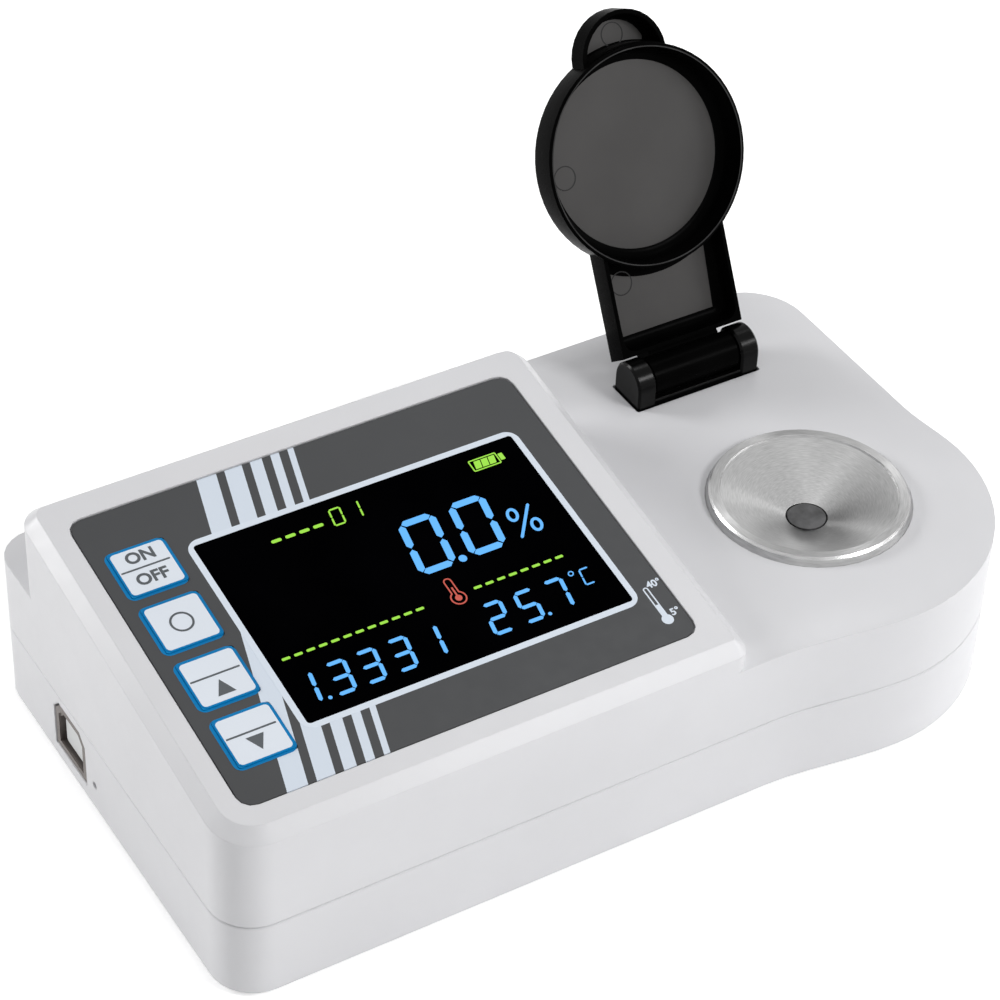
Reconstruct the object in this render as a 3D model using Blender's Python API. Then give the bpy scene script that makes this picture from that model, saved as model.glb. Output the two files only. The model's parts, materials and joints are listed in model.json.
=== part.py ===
"""Benchtop digital refractometer: a two-part housing with a raised, tilted panel deck,
a steel sample dish over a prism, and a hinged lid that swings forward over the dish.

Lengths are in metres. X runs right along the front wall, Y to the back, Z up. The housing
is modelled from its front left corner at table level, and the last step moves the whole
so that its origin lies on the table under the middle of the part as it stands, lid open.
"""

import math

import bmesh
import bpy
from mathutils import Matrix, Vector

# Fits shared by all pieces
GAP = 0.0003
OVERRUN = 0.0020

# Facet counts of round forms
FINE_STEPS = 64
DISH_STEPS = 48
ROUND_STEPS = 32
SMALL_STEPS = 16
CORNER_STEPS = 6
FILLET_STEPS = 4
SMOOTH_ANGLE = math.radians(32)

# Housing plan: straight walls, rounded corners and a round head about the dish
BODY_WIDTH = 0.1715
BODY_DEPTH = 0.0950
FRONT_LEFT_RADIUS = 0.0085
BACK_LEFT_RADIUS = 0.0072
BACK_RIGHT_RADIUS = 0.0126
DISH_Y = 0.0321
HEAD_RADIUS = 0.0350
HEAD_PROUD = 0.0016
HEAD_SWELL_LENGTH = 0.0283
HEAD_SWELL_DEPTH = 0.0154

# Housing heights and walls
SEAM_Z = 0.0168
DECK_Z = 0.0340
SHOULDER_WIDTH = 0.0056
SHOULDER_DROP = 0.0014
WALL = 0.0025
FLOOR = 0.0018
BASE_CHAMFER = 0.0004
SEAM_CHAMFER = 0.0002
LIP_HEIGHT = 0.0015

# Raised deck with the panel, tilted up to the back
RAISED_TO_DISH = 0.0348
BACK_LEDGE = 0.0133
RAISED_STEP = 0.0044
DECK_TILT = math.radians(9.09)
RAISED_CHAMFER = 0.0023
RAISED_BACK_RADIUS = 0.0045
RAISED_END_RADIUS = 0.0028
RAISED_WALL = 0.0027
RAISED_ROOT = 0.0010

# Panel on the raised deck, with the deck's margins measured along the slope
PANEL_LEFT = 0.0063
PANEL_MARGIN_RIGHT = 0.0070
PANEL_FRONT = 0.0066
PANEL_MARGIN_BACK = 0.0077
PANEL_RADIUS = 0.0027
PANEL_THICK = 0.0005
PANEL_RECESS = 0.0010
PANEL_SINK = 0.0002

# Screen in the panel, and the display's overlap under the deck
SCREEN_MARGIN_LEFT = 0.0180
SCREEN_MARGIN_RIGHT = 0.0070
SCREEN_MARGIN_FRONT = 0.0112
SCREEN_MARGIN_BACK = 0.0138
SCREEN_RADIUS = 0.0006
SCREEN_OVERLAP_X = 0.0023
SCREEN_OVERLAP_Y = 0.0040
SCREEN_MODULE_THICK = 0.0040

# Keys, from the front one to the back one
KEY_COUNT = 4
KEY_MARGIN_LEFT = 0.0031
KEY_MARGIN_FRONT = 0.0076
KEY_MARGIN_BACK = 0.0097
KEY_WIDTH = 0.0108
KEY_SPACING = 0.0029
KEY_RADIUS = 0.0004
KEY_THICK = 0.0005
KEY_PROUD = 0.0002
KEY_WELL = 0.0005
KEY_STEM_RADIUS = 0.0018
KEY_STEM_HOLE_RADIUS = 0.0023
KEY_TRAVEL = 0.0005

# Circuit boards and the switches under the keys
BOARD_THICK = 0.0010
PANEL_BOARD_INSET_LEFT = 0.0017
PANEL_BOARD_INSET_FRONT = 0.0059
PANEL_BOARD_INSET_BACK = 0.0030
SWITCH_SIZE = 0.0060
SWITCH_PLUNGER_RADIUS = 0.0017
SWITCH_PLUNGER_HEIGHT = 0.0007
MAIN_BOARD_LEFT = 0.0080
MAIN_BOARD_FRONT = 0.0130
MAIN_BOARD_MARGIN_RIGHT = 0.0053
MAIN_BOARD_MARGIN_BACK = 0.0047
BOARD_RADIUS = 0.0020
CHIP_SIZE = 0.0120
CHIP_HEIGHT = 0.0016

# Square data port in the left wall, with its board just over the floor
PORT_TO_BACK = 0.03105
PORT_WIDTH = 0.0125
PORT_HEIGHT = 0.0109
PORT_DEPTH = 0.0160
PORT_SINK = 0.0004
PORT_CHAMFER = 0.0022
PORT_SHELL = 0.0014
PORT_MOUTH_DEPTH = 0.0100
PORT_TONGUE_WIDTH = 0.0056
PORT_TONGUE_HEIGHT = 0.0032
PORT_BOARD_INSET = 0.0010
PORT_BOARD_MARGIN = 0.0080
PORT_BOARD_TO_BAY = 0.0032
RESET_HOLE_RADIUS = 0.00075
RESET_HOLE_TO_PORT = 0.01015
RESET_HOLE_DROP = 0.0026

# Battery bay in the floor, open below, with four cells side by side
CELL_COUNT = 4
CELL_RADIUS = 0.00725
CELL_LENGTH = 0.0495
CELL_CAP_RADIUS = 0.0027
CELL_CAP_HEIGHT = 0.0010
BAY_LEFT_SHARE = 0.181
BAY_FRONT_SHARE = 0.190
BAY_WALL = 0.0016
BAY_RADIUS = 0.0015
CONTACT_THICK = 0.0006
CONTACT_HEIGHT = 0.0110
CONTACT_BUMP_RADIUS = 0.0022
CONTACT_BUMP_HEIGHT = 0.0006
DOOR_LEDGE = 0.0022
DOOR_THICK = 0.0009
DOOR_PLUG = 0.0012
DOOR_GRIP_RADIUS = 0.0060
DOOR_GRIP_DEPTH = 0.0005
DOOR_RADIUS = 0.0020

# Case screws, feet and the posts that carry the optics
SCREW_INSET = 0.0090
SCREW_TO_SWELL = 0.0018
SCREW_TO_RIGHT = 0.0125
FOOT_INSET = 0.0100
FOOT_TO_SCREW = 0.0108
BOSS_RADIUS = 0.0034
SCREW_RADIUS = 0.0012
SCREW_HEAD_RADIUS = 0.0025
SCREW_HEAD_HEIGHT = 0.0018
SCREW_HEAD_Z = 0.0080
SCREW_TIP_DROP = 0.0060
SCREW_TIP_ROOM = 0.0028
FOOT_RADIUS = 0.0047
FOOT_HEIGHT = 0.0014
FOOT_SEAT = 0.0008
FOOT_CHAMFER = 0.0003
POST_RADIUS = 0.0025
POST_HEIGHT = 0.0042

# Sample dish and prism
DISH_RADIUS = 0.0192
DISH_RIM_RADIUS = 0.01895
DISH_RIM_INNER = 0.01675
DISH_RIM_HEIGHT = 0.0017
DISH_RIM_CHAMFER = 0.0004
DISH_DEPTH = 0.0060
DISH_FLANGE_RADIUS = 0.0220
DISH_FLANGE_THICK = 0.0033
DISH_BASE = 0.0060
DISH_BASE_RADIUS = 0.0150
PRISM_WINDOW_RADIUS = 0.00395
PRISM_LIP = 0.0010
PRISM_FLANGE_RADIUS = 0.0060
PRISM_FLANGE_THICK = 0.0028
PRISM_HEIGHT = 0.0085
PRISM_TOP_WIDTH = 0.0084
PRISM_BOTTOM_WIDTH = 0.0036
PRISM_LENGTH = 0.0076
SEAL_THICK = 0.0006

# Optics block under the dish, with the lamp on its left and the sensor on its right
BLOCK_WIDTH = 0.0320
BLOCK_LENGTH = 0.0280
BLOCK_RADIUS = 0.0015
LAMP_RADIUS = 0.0025
LAMP_FLANGE_RADIUS = 0.0030
LAMP_FLANGE_THICK = 0.0010
LAMP_LENGTH = 0.0086
LAMP_DROP = 0.0127
SENSOR_WIDTH = 0.0090
SENSOR_HEIGHT = 0.0040
SENSOR_THICK = 0.0016
SENSOR_BOARD_WIDTH = 0.0240
SENSOR_BOARD_HEIGHT = 0.0150
SENSOR_BOARD_RADIUS = 0.0010

# Lid hinge: bracket with two ears, pin and screws
HINGE_DEPTH_SHARE = 0.778
HINGE_RISE = 0.0036
HINGE_WIDTH = 0.0279
EAR_WIDTH = 0.0041
EAR_RADIUS = 0.0044
EAR_CHAMFER = 0.0004
BRACKET_SINK = 0.0009
CRADLE_HEIGHT = 0.0011
CRADLE_DEPTH = 0.0081
PIN_RADIUS = 0.0015
PIN_END = 0.0004
PIN_SKIN = 0.0012
HINGE_SCREW_RADIUS = 0.0010
HINGE_SCREW_HEAD_RADIUS = 0.0019
HINGE_SCREW_HEAD_HEIGHT = 0.0012
HINGE_SCREW_GRIP = 0.0019

# Lid, in its closed place over the dish and measured from its rim plane
LID_OPEN_ANGLE = math.radians(117)
LID_RIM_CLEARANCE = 0.0011
LID_RADIUS = 0.0216
LID_RIM_WALL = 0.0008
LID_DRAFT = 0.0003
LID_CUP_DRAFT = 0.0006
LID_HEIGHT = 0.0073
LID_CUP_DEPTH = 0.0054
LID_FILLET = 0.0012
LID_EDGE = 0.0002
LID_FLOOR_FILLET = 0.0018
ARM_WIDTH = 0.0274
ARM_THICK = 0.0060
ARM_TOP_DROP = 0.0007
ARM_END = 0.0049
ARM_END_SLANT = 0.0013
ARM_SKIN = 0.0014
ARM_RIB = 0.0008
ARM_FILLET = 0.0010
ARM_CORNER = 0.0024
ARM_FLOOR_FILLET = 0.0019
ARM_CUP_OVERLAP = 0.0060
TONGUE_WIDTH = 0.0158
TONGUE_CREST = 0.0022
BARREL_RADIUS = 0.0038
TAB_RADIUS = 0.0092
TAB_REACH = 0.0069
TAB_THICK = 0.0050
TAB_TOP_DROP = 0.0008
TAB_RIM = 0.0009
TAB_HOLLOW = 0.0038
TAB_FLOOR_FILLET = 0.0014

# Looks of the materials: colour, roughness and metallic value
WHITE_PLASTIC = ("white_plastic", (0.78, 0.79, 0.80), 0.42, 0.0)
BLACK_PLASTIC = ("black_plastic", (0.015, 0.015, 0.016), 0.28, 0.0)
PANEL_FOIL = ("panel_foil", (0.075, 0.078, 0.082), 0.35, 0.0)
KEY_FOIL = ("key_foil", (0.80, 0.84, 0.90), 0.35, 0.0)
SCREEN_GLASS = ("screen_glass", (0.010, 0.010, 0.012), 0.08, 0.0)
BOARD_GREEN = ("board_green", (0.02, 0.16, 0.07), 0.45, 0.0)
DARK_METAL = ("dark_metal", (0.20, 0.21, 0.22), 0.35, 1.0)
POLISHED_STEEL = ("polished_steel", (0.66, 0.67, 0.68), 0.12, 1.0)
ALUMINIUM = ("aluminium", (0.72, 0.73, 0.74), 0.38, 1.0)
PRISM_GLASS = ("prism_glass", (0.18, 0.19, 0.21), 0.05, 0.0)
RUBBER = ("rubber", (0.03, 0.03, 0.03), 0.75, 0.0)
LAMP_RESIN = ("lamp_resin", (0.85, 0.62, 0.20), 0.15, 0.0)
CELL_SLEEVE = ("cell_sleeve", (0.10, 0.11, 0.13), 0.30, 0.3)

# Sizes that follow from the ones above
DISH_X = BODY_WIDTH + HEAD_PROUD - HEAD_RADIUS
HEAD_SWELL_X = DISH_X - HEAD_SWELL_LENGTH
EDGE_Z = DECK_Z - SHOULDER_DROP
DECK_UNDERSIDE = DECK_Z - WALL
RAISED_WIDTH = DISH_X - RAISED_TO_DISH
RAISED_DEPTH = BODY_DEPTH - BACK_LEDGE
RAISED_FRONT_Z = DECK_Z + RAISED_STEP
PANEL_FRAME = Matrix.Translation((0, 0, RAISED_FRONT_Z)) @ Matrix.Rotation(DECK_TILT, 4, "X")
PANEL_TOP = -PANEL_SINK
PANEL_SEAT = -PANEL_RECESS
PANEL_WIDTH = RAISED_WIDTH - PANEL_LEFT - PANEL_MARGIN_RIGHT
PANEL_LENGTH = RAISED_DEPTH / math.cos(DECK_TILT) - PANEL_FRONT - PANEL_MARGIN_BACK
SCREEN_LEFT = PANEL_LEFT + SCREEN_MARGIN_LEFT
SCREEN_FRONT = PANEL_FRONT + SCREEN_MARGIN_FRONT
SCREEN_WIDTH = PANEL_WIDTH - SCREEN_MARGIN_LEFT - SCREEN_MARGIN_RIGHT
SCREEN_LENGTH = PANEL_LENGTH - SCREEN_MARGIN_FRONT - SCREEN_MARGIN_BACK
KEY_LEFT = PANEL_LEFT + KEY_MARGIN_LEFT
KEY_FRONT = PANEL_FRONT + KEY_MARGIN_FRONT
KEY_PITCH = (PANEL_LENGTH - KEY_MARGIN_FRONT - KEY_MARGIN_BACK + KEY_SPACING) / KEY_COUNT
KEY_LENGTH = KEY_PITCH - KEY_SPACING
MAIN_BOARD_RIGHT = RAISED_WIDTH - MAIN_BOARD_MARGIN_RIGHT
MAIN_BOARD_BACK = RAISED_DEPTH - MAIN_BOARD_MARGIN_BACK
PORT_Y = BODY_DEPTH - PORT_TO_BACK
PORT_BOARD_TOP = FLOOR + GAP + BOARD_THICK
PORT_Z = PORT_BOARD_TOP + GAP + PORT_HEIGHT / 2
SCREW_TIP_Z = DECK_Z - SCREW_TIP_DROP
SCREW_LENGTH = SCREW_TIP_Z - SCREW_HEAD_Z
SCREW_RIGHT_X = BODY_WIDTH - SCREW_TO_RIGHT
SCREW_BACK_Y = BODY_DEPTH - SCREW_INSET
CASE_SCREW_PLACES = (
    (SCREW_INSET, SCREW_INSET), (SCREW_INSET, SCREW_BACK_Y),
    (HEAD_SWELL_X - SCREW_TO_SWELL, SCREW_INSET), (SCREW_RIGHT_X, BODY_DEPTH - SCREW_TO_RIGHT),
)
FOOT_PLACES = (
    (SCREW_INSET + FOOT_TO_SCREW, FOOT_INSET), (SCREW_INSET + FOOT_TO_SCREW, BODY_DEPTH - FOOT_INSET),
    (HEAD_SWELL_X + FOOT_TO_SCREW, FOOT_INSET), (SCREW_RIGHT_X - FOOT_TO_SCREW, BODY_DEPTH - FOOT_INSET),
)
DISH_RIM_Z = DECK_Z + DISH_RIM_HEIGHT
PRISM_Z = DISH_RIM_Z - DISH_DEPTH
LAMP_Z = PRISM_Z - LAMP_DROP
HINGE_Y = BODY_DEPTH * HINGE_DEPTH_SHARE
HINGE_Z = DECK_Z + HINGE_RISE
LID_REACH = HINGE_Y - DISH_Y
LID_RIM_Z = DISH_RIM_Z + LID_RIM_CLEARANCE - HINGE_Z
LID_TOP_Z = LID_RIM_Z + LID_HEIGHT
ARM_TOP_Z = LID_TOP_Z - ARM_TOP_DROP
TAB_TOP_Z = LID_TOP_Z - TAB_TOP_DROP
CELL_PITCH = CELL_RADIUS * 2 + GAP
BAY_WIDTH = CELL_PITCH * CELL_COUNT + GAP
BAY_LENGTH = CELL_LENGTH + CELL_CAP_HEIGHT + 2 * (CONTACT_THICK + CONTACT_BUMP_HEIGHT + GAP * 2)
BAY_LEFT = BODY_WIDTH * BAY_LEFT_SHARE
BAY_FRONT = BODY_DEPTH * BAY_FRONT_SHARE
BAY_LEDGE_LEFT = BAY_LEFT - DOOR_LEDGE - BAY_WALL
DOOR_TOP_Z = DOOR_THICK + DOOR_PLUG
CELL_Z = DOOR_TOP_Z + GAP + CELL_RADIUS
BAY_CEILING = CELL_Z + CELL_RADIUS + GAP
BAY_TOP = BAY_CEILING + BAY_WALL
BLOCK_TOP = PRISM_Z - DISH_BASE + PRISM_LIP - GAP
BLOCK_BOTTOM = FLOOR + POST_HEIGHT + GAP


def arc(centre_x, centre_y, radius, start, end, steps=CORNER_STEPS):
    """Points on an arc, both ends included; angles in degrees."""
    points = []
    for step in range(steps + 1):
        angle = math.radians(start + (end - start) * step / steps)
        points.append((centre_x + radius * math.cos(angle), centre_y + radius * math.sin(angle)))
    return points


def circle(centre_x, centre_y, radius, steps):
    """Points once round a circle."""
    return arc(centre_x, centre_y, radius, 0, 360, steps)[:-1]


def rounded_rectangle(left, right, front, back, radii, steps=CORNER_STEPS):
    """Outline with radii for the corners front left, front right, back right, back left."""
    front_left, front_right, back_right, back_left = radii
    return (
        arc(left + front_left, front + front_left, front_left, 180, 270, steps)
        + arc(right - front_right, front + front_right, front_right, 270, 360, steps)
        + arc(right - back_right, back - back_right, back_right, 0, 90, steps)
        + arc(left + back_left, back - back_left, back_left, 90, 180, steps)
    )


def swell(start, end, along_x, steps=CORNER_STEPS):
    """Soft S from start to end that leaves and arrives along one axis, ends left out."""
    points = []
    for step in range(1, steps):
        share = step / steps
        eased = share * share * (3 - 2 * share)
        share_x, share_y = (share, eased) if along_x else (eased, share)
        points.append((start[0] + (end[0] - start[0]) * share_x, start[1] + (end[1] - start[1]) * share_y))
    return points


def inset(outline, distance):
    """The outline moved inwards, each edge by the same distance."""
    moved = []
    count = len(outline)
    for index in range(count):
        before, here, after = (Vector(outline[(index + k) % count]) for k in (-1, 0, 1))
        first = (here - before).normalized()
        second = (after - here).normalized()
        first_normal = Vector((-first.y, first.x))
        second_normal = Vector((-second.y, second.x))
        bisector = (first_normal + second_normal).normalized()
        point = here + bisector * (distance / bisector.dot(first_normal))
        moved.append((point.x, point.y))
    return moved


def at_height(outline, height):
    """The outline as a ring of points at one height."""
    return [(x, y, height) for x, y in outline]


def on_deck(outline, drop):
    """The outline on the tilted deck plane, lowered by a drop."""
    return [(x, y, raised_height(y) - drop) for x, y in outline]


def raised_height(y):
    """Height of the raised deck's plane over the table."""
    return RAISED_FRONT_Z + y * math.tan(DECK_TILT)


def body_outline():
    """Plan of the housing's walls."""
    head_front = (DISH_X, DISH_Y - HEAD_RADIUS)
    head_right = (DISH_X + HEAD_RADIUS, DISH_Y)
    right_wall_start = (BODY_WIDTH, DISH_Y + HEAD_SWELL_DEPTH)
    front_wall_end = (HEAD_SWELL_X, 0)
    back = BODY_DEPTH
    return (
        arc(FRONT_LEFT_RADIUS, FRONT_LEFT_RADIUS, FRONT_LEFT_RADIUS, 180, 270, 8)
        + [front_wall_end]
        + swell(front_wall_end, head_front, along_x=True)
        + arc(DISH_X, DISH_Y, HEAD_RADIUS, 270, 360, 18)
        + swell(head_right, right_wall_start, along_x=False)
        + [right_wall_start]
        + arc(BODY_WIDTH - BACK_RIGHT_RADIUS, back - BACK_RIGHT_RADIUS, BACK_RIGHT_RADIUS, 0, 90, 9)
        + arc(BACK_LEFT_RADIUS, back - BACK_LEFT_RADIUS, BACK_LEFT_RADIUS, 90, 180)
    )


def raised_outline():
    """Plan of the raised deck, flush with the front and left walls."""
    return (
        arc(FRONT_LEFT_RADIUS, FRONT_LEFT_RADIUS, FRONT_LEFT_RADIUS, 180, 270, 8)
        + arc(RAISED_WIDTH - RAISED_END_RADIUS, RAISED_END_RADIUS, RAISED_END_RADIUS, 270, 360)
        + arc(RAISED_WIDTH - RAISED_BACK_RADIUS, RAISED_DEPTH - RAISED_BACK_RADIUS, RAISED_BACK_RADIUS, 0, 90)
        + arc(RAISED_BACK_RADIUS, RAISED_DEPTH - RAISED_BACK_RADIUS, RAISED_BACK_RADIUS, 90, 180)
    )


def new_object(name, mesh):
    """Object for a mesh, linked to the scene."""
    made = bpy.data.objects.new(name, mesh)
    bpy.context.scene.collection.objects.link(made)
    return made


def loft(name, rings, closed=False):
    """Solid through rings of equal point counts: capped at both ends, or a closed band."""
    build = bmesh.new()
    levels = [[build.verts.new(point) for point in ring] for ring in rings]
    count = len(rings[0])
    pairs = list(zip(levels, levels[1:]))
    if closed:
        pairs.append((levels[-1], levels[0]))
    else:
        build.faces.new(list(reversed(levels[0])))
        build.faces.new(levels[-1])
    for lower, upper in pairs:
        for index in range(count):
            following = (index + 1) % count
            build.faces.new((lower[index], lower[following], upper[following], upper[index]))
    bmesh.ops.recalc_face_normals(build, faces=build.faces)
    mesh = bpy.data.meshes.new(name)
    build.to_mesh(mesh)
    build.free()
    return new_object(name, mesh)


def plate(name, outline, bottom, top):
    """Upright prism over an outline."""
    return loft(name, [at_height(outline, bottom), at_height(outline, top)])


def turned(name, profile, steps, centre=(0, 0), closed=False):
    """Solid turned about an upright axis from (radius, height) points."""
    rings = [at_height(circle(centre[0], centre[1], radius, steps), height) for radius, height in profile]
    return loft(name, rings, closed)


def side_profile(name, outline, left, right):
    """Prism along X over an outline given as (y, z) points."""
    rings = [[(x, y, z) for y, z in outline] for x in (left, right)]
    return loft(name, rings)


def front_profile(name, outline, front, back):
    """Prism along Y over an outline given as (x, z) points."""
    rings = [[(x, y, z) for x, z in outline] for y in (front, back)]
    return loft(name, rings)


def placed(made, matrix):
    """The object with its mesh moved by a matrix."""
    made.data.transform(matrix)
    return made


def combine(target, tool, operation):
    """One Boolean step of the target with a tool, which is used up."""
    tool.hide_render = True
    tool.display_type = "WIRE"
    modifier = target.modifiers.new(operation.lower(), "BOOLEAN")
    modifier.operation = operation
    modifier.solver = "EXACT"
    modifier.object = tool
    bpy.context.view_layer.update()
    evaluated = target.evaluated_get(bpy.context.evaluated_depsgraph_get())
    result = bpy.data.meshes.new_from_object(evaluated)
    result.name = target.name
    target.modifiers.clear()
    target.data = result
    bpy.data.objects.remove(tool)
    return target


def join(target, *tools):
    """Target with the tools added to it."""
    for tool in tools:
        combine(target, tool, "UNION")
    return target


def cut(target, *tools):
    """Target with the tools taken out of it."""
    for tool in tools:
        combine(target, tool, "DIFFERENCE")
    return target


def tidy(made):
    """Flat faces merged, so that a Boolean leaves no stray edges."""
    build = bmesh.new()
    build.from_mesh(made.data)
    bmesh.ops.remove_doubles(build, verts=build.verts, dist=GAP / 1000)
    bmesh.ops.dissolve_limit(
        build, angle_limit=math.radians(0.05), verts=build.verts, edges=build.edges, delimit={"NORMAL"}
    )
    bmesh.ops.triangulate(build, faces=[face for face in build.faces if len(face.verts) > 4])
    bmesh.ops.recalc_face_normals(build, faces=build.faces)
    build.to_mesh(made.data)
    build.free()
    return made


def finish(made, look):
    """Smooth shading over small angles, and the piece's material."""
    label, colour, roughness, metallic = look
    material = bpy.data.materials.get(label)
    if material is None:
        material = bpy.data.materials.new(label)
        material.use_nodes = True
        shader = material.node_tree.nodes["Principled BSDF"]
        shader.inputs["Base Color"].default_value = (*colour, 1)
        shader.inputs["Roughness"].default_value = roughness
        shader.inputs["Metallic"].default_value = metallic
    made.data.materials.clear()
    made.data.materials.append(material)
    made.data.shade_smooth()
    made.data.set_sharp_from_angle(angle=SMOOTH_ANGLE)
    return made


def set_on(made, parent, location=(0, 0, 0)):
    """The object placed under a parent."""
    made.parent = parent
    made.location = location
    return made


def screw_outline(shank_radius, head_radius, head_height, length):
    """Turned profile of a pan-head screw that stands on its head."""
    crown = head_height / 4
    return [
        (head_radius - crown, 0),
        (head_radius, crown),
        (head_radius, head_height),
        (shank_radius, head_height),
        (shank_radius, length - shank_radius / 2),
        (shank_radius / 2, length),
    ]


def screw_hole(name, place, radius, bottom, top):
    """Round cutter for a screw at a place."""
    return turned(name, [(radius, bottom), (radius, top)], SMALL_STEPS, place)


def upper_housing():
    """Moulded cover: walls, sloping shoulder, dish deck and raised panel deck, hollow below."""
    plan = body_outline()
    half_lip = (WALL - GAP) / 2
    shell = loft("upper_housing", [
        at_height(inset(plan, SHOULDER_WIDTH), DECK_Z),
        at_height(plan, EDGE_Z),
        at_height(plan, SEAM_Z),
        at_height(inset(plan, half_lip), SEAM_Z),
        at_height(inset(plan, half_lip), SEAM_Z + LIP_HEIGHT),
        at_height(inset(plan, WALL), SEAM_Z + LIP_HEIGHT),
        at_height(inset(plan, WALL), EDGE_Z - WALL),
        at_height(inset(plan, SHOULDER_WIDTH), DECK_UNDERSIDE),
    ])
    raised_plan = raised_outline()
    join(shell, loft("raised_block", [
        at_height(raised_plan, EDGE_Z - RAISED_ROOT),
        on_deck(raised_plan, RAISED_CHAMFER),
        on_deck(inset(raised_plan, RAISED_CHAMFER), 0),
    ]))
    hollow_plan = inset(raised_plan, RAISED_WALL)
    hollow = loft("raised_hollow", [
        at_height(hollow_plan, EDGE_Z - WALL - OVERRUN),
        on_deck(hollow_plan, WALL / math.cos(DECK_TILT)),
    ])
    cut(shell, hollow)
    for place in CASE_SCREW_PLACES:
        under_raised = place[0] < RAISED_WIDTH and place[1] < RAISED_DEPTH
        roof = raised_height(place[1]) if under_raised else DECK_Z
        boss = turned("boss", [(BOSS_RADIUS, SEAM_Z), (BOSS_RADIUS, roof - WALL / 2)], SMALL_STEPS, place)
        join(shell, boss)
        top = SCREW_TIP_Z + SCREW_TIP_ROOM
        cut(shell, screw_hole("pilot", place, SCREW_RADIUS + GAP, SEAM_Z - OVERRUN, top))
    cut_panel_seat(shell)
    cut(shell, turned("dish_hole", [
        (DISH_RADIUS + GAP, DECK_UNDERSIDE - OVERRUN), (DISH_RADIUS + GAP, DECK_Z + OVERRUN)
    ], DISH_STEPS, (DISH_X, DISH_Y)))
    cut_hinge_seat(shell)
    return finish(tidy(shell), WHITE_PLASTIC)


def panel_box(name, left, width, front, length, radius, bottom, top, play=0):
    """Round-cornered block on the panel frame, grown by some play on all four sides."""
    outline = rounded_rectangle(
        left - play, left + width + play, front - play, front + length + play, [radius + play] * 4, 3
    )
    return plate(name, outline, bottom, top)


def key_front(index):
    """Front edge of a key, the first one being the back one."""
    return KEY_FRONT + KEY_PITCH * (KEY_COUNT - 1 - index)


def key_centre(index):
    """Middle of a key on the panel frame."""
    return KEY_LEFT + KEY_WIDTH / 2, key_front(index) + KEY_LENGTH / 2


def cut_panel_seat(shell):
    """Shallow recess for the panel foil, with the screen's opening and the keys' wells."""
    cutters = [
        panel_box("recess", PANEL_LEFT, PANEL_WIDTH, PANEL_FRONT, PANEL_LENGTH, PANEL_RADIUS,
                  PANEL_SEAT, OVERRUN, GAP),
        panel_box("screen_hole", SCREEN_LEFT, SCREEN_WIDTH, SCREEN_FRONT, SCREEN_LENGTH, SCREEN_RADIUS,
                  -WALL - OVERRUN, OVERRUN, GAP),
    ]
    for index in range(KEY_COUNT):
        cutters.append(panel_box("well", KEY_LEFT, KEY_WIDTH, key_front(index), KEY_LENGTH, KEY_RADIUS,
                                 PANEL_SEAT - KEY_WELL, OVERRUN, GAP))
        cutters.append(screw_hole("stem_hole", key_centre(index), KEY_STEM_HOLE_RADIUS,
                                  -WALL - OVERRUN, OVERRUN))
    for cutter in cutters:
        cut(shell, placed(cutter, PANEL_FRAME))


def hinge_screw_places():
    """Plan places of the two screws, in the middle of the ears."""
    reach = (HINGE_WIDTH - EAR_WIDTH) / 2
    return (DISH_X - reach, HINGE_Y), (DISH_X + reach, HINGE_Y)


def cut_hinge_seat(shell):
    """Pocket in the deck that takes the hinge bracket, with its two screw holes."""
    half_width = HINGE_WIDTH / 2
    outline = rounded_rectangle(
        DISH_X - half_width - GAP, DISH_X + half_width + GAP,
        HINGE_Y - EAR_RADIUS - GAP, HINGE_Y + EAR_RADIUS + GAP, [EAR_CHAMFER] * 4, 2
    )
    cut(shell, plate("hinge_pocket", outline, DECK_Z - BRACKET_SINK - GAP, DECK_Z + OVERRUN))
    for place in hinge_screw_places():
        cut(shell, screw_hole("hinge_screw_hole", place, HINGE_SCREW_RADIUS + GAP,
                              DECK_UNDERSIDE - OVERRUN, DECK_Z + OVERRUN))


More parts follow.
